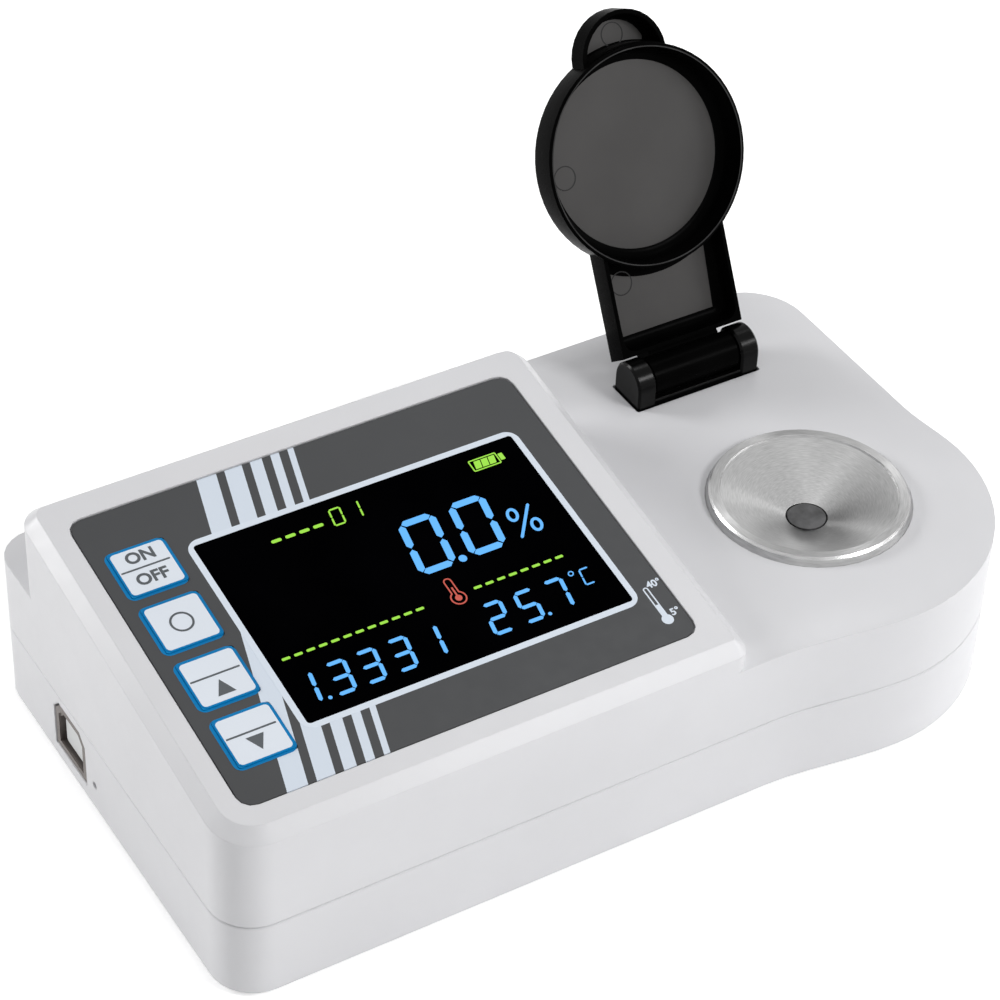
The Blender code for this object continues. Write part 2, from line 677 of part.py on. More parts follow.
def lower_housing():
    """Moulded tray with a stepped rim, battery bay, port opening, bosses and foot seats."""
    plan = body_outline()
    rim = SEAM_Z - GAP
    lip_inset = (WALL + GAP) / 2
    tray = loft("lower_housing", [
        at_height(inset(plan, BASE_CHAMFER), 0),
        at_height(plan, BASE_CHAMFER),
        at_height(plan, rim - SEAM_CHAMFER),
        at_height(inset(plan, SEAM_CHAMFER), rim),
        at_height(inset(plan, lip_inset), rim),
        at_height(inset(plan, lip_inset), rim + LIP_HEIGHT),
        at_height(inset(plan, WALL), rim + LIP_HEIGHT),
        at_height(inset(plan, WALL), FLOOR),
    ])
    bay_right = BAY_LEFT + BAY_WIDTH
    bay_back = BAY_FRONT + BAY_LENGTH
    bay_walls = rounded_rectangle(
        BAY_LEFT - BAY_WALL, bay_right + BAY_WALL, BAY_FRONT - BAY_WALL, bay_back + BAY_WALL,
        [BAY_RADIUS + BAY_WALL] * 4, 3
    )
    bay_hollow = rounded_rectangle(BAY_LEFT, bay_right, BAY_FRONT, bay_back, [BAY_RADIUS] * 4, 3)
    door_seat = rounded_rectangle(
        BAY_LEFT - DOOR_LEDGE, bay_right + DOOR_LEDGE, BAY_FRONT - DOOR_LEDGE, bay_back + DOOR_LEDGE,
        [DOOR_RADIUS] * 4, 3
    )
    ledge = rounded_rectangle(
        BAY_LEDGE_LEFT, bay_right + DOOR_LEDGE + BAY_WALL,
        BAY_FRONT - DOOR_LEDGE - BAY_WALL, bay_back + DOOR_LEDGE + BAY_WALL,
        [DOOR_RADIUS + BAY_WALL] * 4, 3
    )
    ledge_top = DOOR_THICK + GAP + BAY_WALL
    join(tray, plate("bay_ledge", ledge, FLOOR / 2, ledge_top))
    join(tray, plate("bay_walls", bay_walls, FLOOR / 2, BAY_TOP))
    cut(tray, plate("bay_hollow", bay_hollow, -OVERRUN, BAY_CEILING))
    cut(tray, plate("door_seat", door_seat, -OVERRUN, DOOR_THICK + GAP))
    for place in CASE_SCREW_PLACES:
        join(tray, turned("boss", [(BOSS_RADIUS, FLOOR / 2), (BOSS_RADIUS, rim)], SMALL_STEPS, place))
        cut(tray, screw_hole("clearance", place, SCREW_RADIUS + GAP, -OVERRUN, SEAM_Z + OVERRUN))
        head_top = SCREW_HEAD_Z + SCREW_HEAD_HEIGHT + GAP
        cut(tray, screw_hole("head_bore", place, SCREW_HEAD_RADIUS + GAP, -OVERRUN, head_top))
    for place in block_corners(POST_RADIUS):
        join(tray, turned("post", [(POST_RADIUS, FLOOR / 2), (POST_RADIUS, FLOOR + POST_HEIGHT)],
                          SMALL_STEPS, place))
    for place in FOOT_PLACES:
        cut(tray, turned("foot_seat", [(FOOT_RADIUS + GAP, -OVERRUN), (FOOT_RADIUS + GAP, FOOT_SEAT)],
                         SMALL_STEPS, place))
    cut(tray, side_profile("port_hole", port_outline(GAP), -OVERRUN, WALL + OVERRUN))
    reset_hole = circle(PORT_Y - RESET_HOLE_TO_PORT, PORT_Z - RESET_HOLE_DROP, RESET_HOLE_RADIUS, SMALL_STEPS)
    cut(tray, side_profile("reset_hole", reset_hole, -OVERRUN, WALL + OVERRUN))
    return finish(tidy(tray), WHITE_PLASTIC)


def port_outline(play):
    """Outline (y, z) of the square port with its two upper corners cut off."""
    half_width = PORT_WIDTH / 2 + play
    half_height = PORT_HEIGHT / 2 + play
    left, right = PORT_Y - half_width, PORT_Y + half_width
    low, high = PORT_Z - half_height, PORT_Z + half_height
    return [
        (left, low), (right, low), (right, high - PORT_CHAMFER), (right - PORT_CHAMFER, high),
        (left + PORT_CHAMFER, high), (left, high - PORT_CHAMFER),
    ]


def data_port():
    """Square receptacle: metal shell with a deep mouth and a contact tongue in it."""
    port = side_profile("data_port", port_outline(0), PORT_SINK, PORT_SINK + PORT_DEPTH)
    cut(port, side_profile("mouth", port_outline(-PORT_SHELL), -OVERRUN, PORT_SINK + PORT_MOUTH_DEPTH))
    half_width = PORT_TONGUE_WIDTH / 2
    half_height = PORT_TONGUE_HEIGHT / 2
    tongue = [
        (PORT_Y - half_width, PORT_Z - half_height), (PORT_Y + half_width, PORT_Z - half_height),
        (PORT_Y + half_width, PORT_Z + half_height), (PORT_Y - half_width, PORT_Z + half_height),
    ]
    start = PORT_SINK + PORT_SHELL
    join(port, side_profile("tongue", tongue, start, start + PORT_MOUTH_DEPTH))
    return finish(tidy(port), DARK_METAL)


def port_board():
    """Small circuit board under the data port, just over the floor."""
    left = WALL + PORT_BOARD_INSET
    reach = PORT_WIDTH / 2 + PORT_BOARD_MARGIN
    outline = rounded_rectangle(
        left, BAY_LEDGE_LEFT - PORT_BOARD_TO_BAY, PORT_Y - reach, PORT_Y + reach, [BOARD_RADIUS] * 4, 3
    )
    return finish(plate("port_board", outline, PORT_BOARD_TOP - BOARD_THICK, PORT_BOARD_TOP), BOARD_GREEN)


def battery_cells():
    """Round cells side by side, every second one turned end for end."""
    profile = [
        (CELL_RADIUS, 0), (CELL_RADIUS, CELL_LENGTH), (CELL_CAP_RADIUS, CELL_LENGTH),
        (CELL_CAP_RADIUS, CELL_LENGTH + CELL_CAP_HEIGHT),
    ]
    start = BAY_FRONT + CONTACT_THICK + CONTACT_BUMP_HEIGHT + 2 * GAP
    cells = []
    for index in range(CELL_COUNT):
        centre_x = BAY_LEFT + GAP + CELL_RADIUS + CELL_PITCH * index
        cell = turned(f"battery_cell_{index + 1}", profile, SMALL_STEPS)
        if index % 2:
            place = Matrix.Translation((centre_x, start, CELL_Z)) @ Matrix.Rotation(math.radians(-90), 4, "X")
        else:
            end = start + CELL_LENGTH + CELL_CAP_HEIGHT
            place = Matrix.Translation((centre_x, end, CELL_Z)) @ Matrix.Rotation(math.radians(90), 4, "X")
        cells.append(finish(placed(cell, place), CELL_SLEEVE))
    return cells


def battery_contacts():
    """Sprung plates at both ends of the cells, with a bump for each cell."""
    left = BAY_LEFT + BAY_RADIUS
    right = BAY_LEFT + BAY_WIDTH - BAY_RADIUS
    low = CELL_Z - CONTACT_HEIGHT / 2
    high = CELL_Z + CONTACT_HEIGHT / 2
    outline = rounded_rectangle(left, right, low, high, [BAY_RADIUS] * 4, 2)
    front_face = BAY_FRONT + GAP
    back_face = BAY_FRONT + BAY_LENGTH - GAP
    contacts = []
    for name, near, far in (
        ("battery_contact_front", front_face, front_face + CONTACT_THICK),
        ("battery_contact_back", back_face - CONTACT_THICK, back_face),
    ):
        strip = front_profile(name, outline, near, far)
        towards_cells = near < CELL_LENGTH
        for index in range(CELL_COUNT):
            centre_x = BAY_LEFT + GAP + CELL_RADIUS + CELL_PITCH * index
            bump = circle(centre_x, CELL_Z, CONTACT_BUMP_RADIUS, SMALL_STEPS)
            if towards_cells:
                join(strip, front_profile("bump", bump, near + CONTACT_THICK / 2, far + CONTACT_BUMP_HEIGHT))
            else:
                join(strip, front_profile("bump", bump, near - CONTACT_BUMP_HEIGHT, far - CONTACT_THICK / 2))
        contacts.append(finish(tidy(strip), POLISHED_STEEL))
    return contacts


def battery_door():
    """Cover of the battery bay: a flange in its seat, a plug in the bay and a thumb hollow."""
    bay_right = BAY_LEFT + BAY_WIDTH
    bay_back = BAY_FRONT + BAY_LENGTH
    reach = DOOR_LEDGE - GAP
    flange = rounded_rectangle(
        BAY_LEFT - reach, bay_right + reach, BAY_FRONT - reach, bay_back + reach, [DOOR_RADIUS] * 4, 3
    )
    plug = rounded_rectangle(
        BAY_LEFT + GAP, bay_right - GAP, BAY_FRONT + GAP, bay_back - GAP, [BAY_RADIUS] * 4, 3
    )
    door = plate("battery_door", flange, 0, DOOR_THICK)
    join(door, plate("plug", plug, DOOR_THICK / 2, DOOR_TOP_Z))
    thumb = ((BAY_LEFT + bay_right) / 2, bay_back - DOOR_GRIP_RADIUS * 1.5)
    cut(door, turned("thumb_hollow", [
        (DOOR_GRIP_RADIUS, -OVERRUN), (DOOR_GRIP_RADIUS, 0), (DOOR_GRIP_RADIUS * 0.8, DOOR_GRIP_DEPTH)
    ], SMALL_STEPS, thumb))
    return finish(tidy(door), WHITE_PLASTIC)


def case_screws():
    """Screws that hold the two housing parts together, sunk in the tray's bosses."""
    profile = screw_outline(SCREW_RADIUS, SCREW_HEAD_RADIUS, SCREW_HEAD_HEIGHT, SCREW_LENGTH)
    screws = []
    for index, (x, y) in enumerate(CASE_SCREW_PLACES):
        screw = turned(f"case_screw_{index + 1}", profile, SMALL_STEPS)
        screw.location = (x, y, SCREW_HEAD_Z)
        screws.append(finish(screw, POLISHED_STEEL))
    return screws


def rubber_feet():
    """Round feet, seated in the floor."""
    sole = -(FOOT_HEIGHT - FOOT_SEAT + GAP)
    profile = [
        (FOOT_RADIUS - FOOT_CHAMFER, sole), (FOOT_RADIUS, sole + FOOT_CHAMFER), (FOOT_RADIUS, FOOT_SEAT - GAP)
    ]
    feet = []
    for index, (x, y) in enumerate(FOOT_PLACES):
        foot = turned(f"foot_{index + 1}", profile, SMALL_STEPS)
        foot.location = (x, y, 0)
        feet.append(finish(foot, RUBBER))
    return feet


def main_board():
    """Main circuit board on the battery bay's roof, with its larger chips."""
    bottom = BAY_TOP + GAP
    top = bottom + BOARD_THICK
    outline = rounded_rectangle(
        MAIN_BOARD_LEFT, MAIN_BOARD_RIGHT, MAIN_BOARD_FRONT, MAIN_BOARD_BACK, [BOARD_RADIUS] * 4, 3
    )
    board = plate("main_board", outline, bottom, top)
    middle_y = (MAIN_BOARD_FRONT + MAIN_BOARD_BACK) / 2
    for step, share in ((-1, 1.0), (0, 0.8), (1, 0.6)):
        centre_x = (MAIN_BOARD_LEFT + MAIN_BOARD_RIGHT) / 2 + step * CHIP_SIZE * 2
        half = CHIP_SIZE * share / 2
        chip = rounded_rectangle(
            centre_x - half, centre_x + half, middle_y - half, middle_y + half, [CHIP_HEIGHT / 4] * 4, 1
        )
        join(board, plate("chip", chip, top - BOARD_THICK / 2, top + CHIP_HEIGHT))
    return finish(tidy(board), BOARD_GREEN)


def panel_foil(frame):
    """Thin printed panel with the screen's window and the openings of the keys."""
    top = PANEL_TOP
    foil = panel_box("panel_foil", PANEL_LEFT, PANEL_WIDTH, PANEL_FRONT, PANEL_LENGTH, PANEL_RADIUS,
                     top - PANEL_THICK, top)
    cut(foil, panel_box("window", SCREEN_LEFT, SCREEN_WIDTH, SCREEN_FRONT, SCREEN_LENGTH, SCREEN_RADIUS,
                        -WALL, OVERRUN, GAP))
    for index in range(KEY_COUNT):
        cut(foil, panel_box("key_hole", KEY_LEFT, KEY_WIDTH, key_front(index), KEY_LENGTH, KEY_RADIUS,
                            -WALL, OVERRUN, GAP))
    return set_on(finish(tidy(foil), PANEL_FOIL), frame)


def screen_window(frame):
    """Clear pane over the display, flush with the panel."""
    pane = panel_box("screen_window", SCREEN_LEFT, SCREEN_WIDTH, SCREEN_FRONT, SCREEN_LENGTH, SCREEN_RADIUS,
                     -WALL, PANEL_TOP)
    return set_on(finish(pane, SCREEN_GLASS), frame)


def display_module(frame):
    """Display in its metal tray, right under the deck."""
    top = -WALL - GAP
    left = SCREEN_LEFT - SCREEN_OVERLAP_X
    front = SCREEN_FRONT - SCREEN_OVERLAP_Y
    width = SCREEN_WIDTH + 2 * SCREEN_OVERLAP_X
    length = SCREEN_LENGTH + 2 * SCREEN_OVERLAP_Y
    module = panel_box("display_module", left, width, front, length, SCREEN_RADIUS,
                       top - SCREEN_MODULE_THICK, top)
    return set_on(finish(module, DARK_METAL), frame)


def panel_board(frame):
    """Circuit board under the display that carries the key switches."""
    top = -WALL - 2 * GAP - SCREEN_MODULE_THICK
    board = panel_box("panel_board", PANEL_LEFT + PANEL_BOARD_INSET_LEFT, PANEL_WIDTH - PANEL_BOARD_INSET_LEFT,
                      PANEL_FRONT + PANEL_BOARD_INSET_FRONT,
                      PANEL_LENGTH - PANEL_BOARD_INSET_FRONT - PANEL_BOARD_INSET_BACK, BOARD_RADIUS,
                      top - BOARD_THICK, top)
    return set_on(finish(board, BOARD_GREEN), frame)


def key_switches(frame):
    """Small push switches on the board, one under each key."""
    bottom = -WALL - GAP - SCREEN_MODULE_THICK
    plunger_top = key_stem_bottom() - KEY_TRAVEL - GAP
    body_top = plunger_top - SWITCH_PLUNGER_HEIGHT
    half = SWITCH_SIZE / 2
    switches = []
    for index in range(KEY_COUNT):
        x, y = key_centre(index)
        outline = rounded_rectangle(-half, half, -half, half, [KEY_RADIUS] * 4, 2)
        body = plate(f"key_switch_{index + 1}", outline, bottom, body_top)
        join(body, turned("plunger", [
            (SWITCH_PLUNGER_RADIUS, body_top - SWITCH_PLUNGER_HEIGHT), (SWITCH_PLUNGER_RADIUS, plunger_top)
        ], SMALL_STEPS))
        switches.append(set_on(finish(tidy(body), BLACK_PLASTIC), frame, (x, y, 0)))
    return switches


def key_stem_bottom():
    """Lower end of a key's stem, just under the deck's skin."""
    return -WALL + GAP


def keys(frame):
    """Flat key caps with a stem, each with its origin in the middle of its cap's plane."""
    half_width = KEY_WIDTH / 2
    half_length = KEY_LENGTH / 2
    top = PANEL_TOP + KEY_PROUD
    made = []
    for index in range(KEY_COUNT):
        x, y = key_centre(index)
        outline = rounded_rectangle(-half_width, half_width, -half_length, half_length, [KEY_RADIUS] * 4, 2)
        cap = plate(f"key_{index + 1}", outline, top - KEY_THICK, top)
        join(cap, turned("stem", [(KEY_STEM_RADIUS, key_stem_bottom()), (KEY_STEM_RADIUS, top - KEY_THICK / 2)],
                         SMALL_STEPS))
        made.append(set_on(finish(tidy(cap), KEY_FOIL), frame, (x, y, 0)))
    return made


def sample_dish():
    """Turned steel dish: rim over the deck, cone down to the prism, flange under the deck."""
    flange_top = DECK_UNDERSIDE - GAP
    base = PRISM_Z - DISH_BASE + PRISM_LIP
    bore = PRISM_FLANGE_RADIUS + GAP
    dish = turned("sample_dish", [
        (PRISM_WINDOW_RADIUS, PRISM_Z),
        (DISH_RIM_INNER, DISH_RIM_Z - DISH_RIM_CHAMFER),
        (DISH_RIM_INNER + DISH_RIM_CHAMFER, DISH_RIM_Z),
        (DISH_RIM_RADIUS - DISH_RIM_CHAMFER, DISH_RIM_Z),
        (DISH_RIM_RADIUS, DISH_RIM_Z - DISH_RIM_CHAMFER),
        (DISH_RADIUS, DECK_Z),
        (DISH_RADIUS, flange_top),
        (DISH_FLANGE_RADIUS, flange_top),
        (DISH_FLANGE_RADIUS, flange_top - DISH_FLANGE_THICK),
        (DISH_BASE_RADIUS, flange_top - DISH_FLANGE_THICK),
        (DISH_BASE_RADIUS, base),
        (bore, base),
        (bore, PRISM_Z - PRISM_LIP),
        (PRISM_WINDOW_RADIUS, PRISM_Z - PRISM_LIP),
    ], DISH_STEPS, (DISH_X, DISH_Y), closed=True)
    return finish(dish, POLISHED_STEEL)


def prism_flange_top():
    """Upper face of the prism's flange, under the seal."""
    return PRISM_Z - PRISM_LIP - SEAL_THICK - 2 * GAP


def prism():
    """Measuring prism: round window, flange under the seal and a wedge-shaped foot."""
    flange_top = prism_flange_top()
    flange_bottom = flange_top - PRISM_FLANGE_THICK
    window = PRISM_WINDOW_RADIUS - GAP
    glass = turned("prism", [
        (PRISM_FLANGE_RADIUS, flange_bottom), (PRISM_FLANGE_RADIUS, flange_top),
        (window, flange_top), (window, PRISM_Z),
    ], ROUND_STEPS, (DISH_X, DISH_Y))
    half_top = PRISM_TOP_WIDTH / 2
    half_bottom = PRISM_BOTTOM_WIDTH / 2
    overlap = flange_bottom + PRISM_FLANGE_THICK / 2
    foot = front_profile("foot", [
        (DISH_X - half_bottom, flange_bottom - PRISM_HEIGHT),
        (DISH_X + half_bottom, flange_bottom - PRISM_HEIGHT),
        (DISH_X + half_top, flange_bottom), (DISH_X + half_top, overlap),
        (DISH_X - half_top, overlap), (DISH_X - half_top, flange_bottom),
    ], DISH_Y - PRISM_LENGTH / 2, DISH_Y + PRISM_LENGTH / 2)
    join(glass, foot)
    return finish(tidy(glass), PRISM_GLASS)


def prism_seal():
    """Flat seal round the prism's window, between its flange and the dish."""
    bottom = prism_flange_top() + GAP
    inner = PRISM_WINDOW_RADIUS
    outer = PRISM_FLANGE_RADIUS - GAP
    seal = turned("prism_seal", [
        (inner, bottom), (outer, bottom), (outer, bottom + SEAL_THICK), (inner, bottom + SEAL_THICK)
    ], ROUND_STEPS, (DISH_X, DISH_Y), closed=True)
    return finish(seal, RUBBER)


def block_corners(margin):
    """Plan places in the optics block's corners, in from its sides by a margin."""
    reach_x = BLOCK_WIDTH / 2 - margin
    reach_y = BLOCK_LENGTH / 2 - margin
    return [(DISH_X + i * reach_x, DISH_Y + j * reach_y) for i in (-1, 1) for j in (-1, 1)]


def optics_block():
    """Metal block under the dish with the prism's chamber, the lamp's bore and the sensor's slot."""
    half_width = BLOCK_WIDTH / 2
    half_length = BLOCK_LENGTH / 2
    outline = rounded_rectangle(
        DISH_X - half_width, DISH_X + half_width, DISH_Y - half_length, DISH_Y + half_length,
        [BLOCK_RADIUS] * 4, 3
    )
    block = plate("optics_block", outline, BLOCK_BOTTOM, BLOCK_TOP)
    foot_bottom = prism_flange_top() - PRISM_FLANGE_THICK - PRISM_HEIGHT
    cut(block, turned("chamber", [
        (PRISM_FLANGE_RADIUS + GAP, foot_bottom - GAP), (PRISM_FLANGE_RADIUS + GAP, BLOCK_TOP + OVERRUN)
    ], ROUND_STEPS, (DISH_X, DISH_Y)))
    bore = circle(DISH_Y, LAMP_Z, LAMP_RADIUS + GAP, SMALL_STEPS)
    cut(block, side_profile("lamp_bore", bore, DISH_X - half_width - OVERRUN, DISH_X))
    slot_half = SENSOR_WIDTH / 2 + GAP
    slot_high = SENSOR_HEIGHT / 2 + GAP
    slot = [
        (DISH_Y - slot_half, LAMP_Z - slot_high), (DISH_Y + slot_half, LAMP_Z - slot_high),
        (DISH_Y + slot_half, LAMP_Z + slot_high), (DISH_Y - slot_half, LAMP_Z + slot_high),
    ]
    cut(block, side_profile("sensor_slot", slot, DISH_X, DISH_X + half_width + OVERRUN))
    return finish(tidy(block), ALUMINIUM)


def lamp():
    """Round-nosed lamp that shines into the prism from the left."""
    dome_steps = 4
    tip = LAMP_LENGTH
    shoulder = tip - LAMP_RADIUS
    profile = [
        (LAMP_FLANGE_RADIUS, 0), (LAMP_FLANGE_RADIUS, LAMP_FLANGE_THICK), (LAMP_RADIUS, LAMP_FLANGE_THICK),
        (LAMP_RADIUS, shoulder),
    ]
    for step in range(1, dome_steps):
        angle = math.radians(90 * step / dome_steps)
        profile.append((LAMP_RADIUS * math.cos(angle), shoulder + LAMP_RADIUS * math.sin(angle)))
    made = turned("lamp", profile, SMALL_STEPS)
    back = DISH_X - BLOCK_WIDTH / 2 - GAP - LAMP_FLANGE_THICK
    turn = Matrix.Translation((back, DISH_Y, LAMP_Z)) @ Matrix.Rotation(math.radians(90), 4, "Y")
    return finish(placed(made, turn), LAMP_RESIN)


def sensor_board():
    """Upright board on the block's right side, with the line sensor that looks into the slot."""
    near = DISH_X + BLOCK_WIDTH / 2 + GAP
    half_width = SENSOR_BOARD_WIDTH / 2
    half_height = SENSOR_BOARD_HEIGHT / 2
    outline = rounded_rectangle(
        DISH_Y - half_width, DISH_Y + half_width, LAMP_Z - half_height, LAMP_Z + half_height,
        [SENSOR_BOARD_RADIUS] * 4, 3
    )
    board = side_profile("sensor_board", outline, near, near + BOARD_THICK)
    sensor = [
        (DISH_Y - SENSOR_WIDTH / 2, LAMP_Z - SENSOR_HEIGHT / 2),
        (DISH_Y + SENSOR_WIDTH / 2, LAMP_Z - SENSOR_HEIGHT / 2),
        (DISH_Y + SENSOR_WIDTH / 2, LAMP_Z + SENSOR_HEIGHT / 2),
        (DISH_Y - SENSOR_WIDTH / 2, LAMP_Z + SENSOR_HEIGHT / 2),
    ]
    join(board, side_profile("sensor", sensor, near - SENSOR_THICK, near + BOARD_THICK / 2))
    return finish(tidy(board), BOARD_GREEN)


def ear_outline(shrink):
    """Outline (y, z) of a hinge ear: upright sides and a round head, drawn in by an amount."""
    radius = EAR_RADIUS - shrink
    bottom = DECK_Z - BRACKET_SINK
    return [(HINGE_Y - radius, bottom), (HINGE_Y + radius, bottom)] + arc(HINGE_Y, HINGE_Z, radius, 0, 180, 14)


def hinge_bracket():
    """Hinge base: two ears and a low cradle as one moulding, bored for the pin from the right."""
    half_width = HINGE_WIDTH / 2
    ears = []
    for side in (-1, 1):
        outer = DISH_X + side * half_width
        inner = outer - side * EAR_WIDTH
        stations = [
            (outer, EAR_CHAMFER), (outer - side * EAR_CHAMFER, 0), (inner + side * EAR_CHAMFER, 0),
            (inner, EAR_CHAMFER),
        ]
        rings = [[(x, y, z) for y, z in ear_outline(shrink)] for x, shrink in stations]
        ears.append(loft("hinge_bracket", rings))
    half_depth = CRADLE_DEPTH / 2
    cradle_half = half_width - EAR_WIDTH / 2
    outline = rounded_rectangle(
        DISH_X - cradle_half, DISH_X + cradle_half, HINGE_Y - half_depth, HINGE_Y + half_depth,
        [EAR_CHAMFER] * 4, 1
    )
    bracket = join(ears[0], plate("cradle", outline, DECK_Z - BRACKET_SINK, DECK_Z + CRADLE_HEIGHT), ears[1])
    inner_half = half_width - EAR_WIDTH
    trough = circle(HINGE_Y, HINGE_Z, BARREL_RADIUS + GAP, ROUND_STEPS)
    cut(bracket, side_profile("trough", trough, DISH_X - inner_half, DISH_X + inner_half))
    bore = circle(HINGE_Y, HINGE_Z, PIN_RADIUS + GAP, SMALL_STEPS)
    cut(bracket, side_profile("bore", bore, DISH_X - half_width + PIN_SKIN, DISH_X + half_width + OVERRUN))
    for place in hinge_screw_places():
        bottom = DECK_Z - BRACKET_SINK
        cut(bracket, screw_hole("pilot", place, HINGE_SCREW_RADIUS + GAP, bottom - OVERRUN,
                                bottom + HINGE_SCREW_GRIP + GAP))
    return finish(tidy(bracket), BLACK_PLASTIC)


def hinge_pin():
    """Steel pin pushed in from the right, through the lid's barrel and into the left ear."""
    left = PIN_SKIN + GAP - HINGE_WIDTH / 2
    right = HINGE_WIDTH / 2 - PIN_END
    nose = PIN_RADIUS / 4
    pin = turned("hinge_pin", [
        (PIN_RADIUS - nose, left),
        (PIN_RADIUS, left + nose),
        (PIN_RADIUS, right - nose),
        (PIN_RADIUS - nose, right),
    ], SMALL_STEPS)
    turn = Matrix.Translation((DISH_X, HINGE_Y, HINGE_Z)) @ Matrix.Rotation(math.radians(90), 4, "Y")
    return finish(placed(pin, turn), POLISHED_STEEL)


def hinge_screws():
    """Screws from inside the cover up into the ears."""
    length = HINGE_SCREW_HEAD_HEIGHT + GAP + WALL - BRACKET_SINK + HINGE_SCREW_GRIP
    profile = screw_outline(HINGE_SCREW_RADIUS, HINGE_SCREW_HEAD_RADIUS, HINGE_SCREW_HEAD_HEIGHT, length)
    screws = []
    for index, (x, y) in enumerate(hinge_screw_places()):
        screw = turned(f"hinge_screw_{index + 1}", profile, SMALL_STEPS)
        screw.location = (x, y, DECK_UNDERSIDE - GAP - HINGE_SCREW_HEAD_HEIGHT)
        screws.append(finish(screw, POLISHED_STEEL))
    return screws


def lid_cup():
    """Round cap of the lid, closed side up, about the dish's centre."""
    profile = [
        (LID_RADIUS - LID_EDGE, LID_RIM_Z),
        (LID_RADIUS, LID_RIM_Z + LID_EDGE),
    ]
    for step in range(FILLET_STEPS + 1):
        angle = math.radians(90 * step / FILLET_STEPS)
        profile.append((
            LID_RADIUS - LID_DRAFT - LID_FILLET * (1 - math.cos(angle)),
            LID_TOP_Z - LID_FILLET * (1 - math.sin(angle)),
        ))
    return turned("lid", profile, FINE_STEPS, (0, -LID_REACH))


def lid_arm():
    """Arm from the cap to the hinge, its long upper edges rounded and its end slanted over the barrel."""
    half_width = ARM_WIDTH / 2
    low = ARM_TOP_Z - ARM_THICK
    start = -LID_REACH + math.sqrt(LID_RADIUS ** 2 - half_width ** 2) - ARM_CUP_OVERLAP
    section = [(-half_width, low), (half_width, low)]
    section += arc(half_width - ARM_FILLET, ARM_TOP_Z - ARM_FILLET, ARM_FILLET, 0, 90, 3)
    section += arc(-half_width + ARM_FILLET, ARM_TOP_Z - ARM_FILLET, ARM_FILLET, 90, 180, 3)
    slant = ARM_END_SLANT / ARM_THICK
    return loft("arm", [
        [(x, start, z) for x, z in section],
        [(x, -ARM_END + (z - low) * slant, z) for x, z in section],
    ])


def lid_tongue():
    """Curved tongue that leads the arm over the barrel."""
    half_width = TONGUE_WIDTH / 2
    low = ARM_TOP_Z - ARM_THICK
    inner_end = -ARM_END - ARM_RIB / 2
    slope = BARREL_RADIUS * math.sqrt(0.5)
    outline = [
        (inner_end, ARM_TOP_Z - ARM_FILLET), (-ARM_END, ARM_TOP_Z - ARM_FILLET / 4),
        (-TONGUE_CREST, ARM_TOP_Z - ARM_FILLET), (slope, slope), (0, 0), (-slope, slope / 2),
        (-ARM_END + ARM_RIB, low), (inner_end, low + ARM_RIB),
    ]
    return side_profile("tongue", list(reversed(outline)), -half_width, half_width)


def lid_barrel():
    """Hinge barrel that lies in the cradle between the ears."""
    half_width = HINGE_WIDTH / 2 - EAR_WIDTH - GAP
    outline = circle(0, 0, BARREL_RADIUS, ROUND_STEPS)
    return side_profile("barrel", outline, -half_width, half_width)


def lid_tab():
    """Rounded finger tab on the side away from the hinge."""
    centre_y = -LID_REACH - LID_RADIUS - TAB_REACH + TAB_RADIUS
    top = TAB_TOP_Z
    return turned("tab", [
        (TAB_RADIUS, top - TAB_THICK),
        (TAB_RADIUS, top - ARM_FILLET / 2),
        (TAB_RADIUS - ARM_FILLET / 2, top),
    ], ROUND_STEPS, (0, centre_y))


def outside_cup(cutter):
    """The cutter without the part that would reach the cap's wall."""
    radius = LID_RADIUS + LID_EDGE
    keep = turned("cap_keep", [
        (radius, LID_RIM_Z - OVERRUN), (radius, LID_TOP_Z + OVERRUN)
    ], FINE_STEPS, (0, -LID_REACH))
    return cut(cutter, keep)


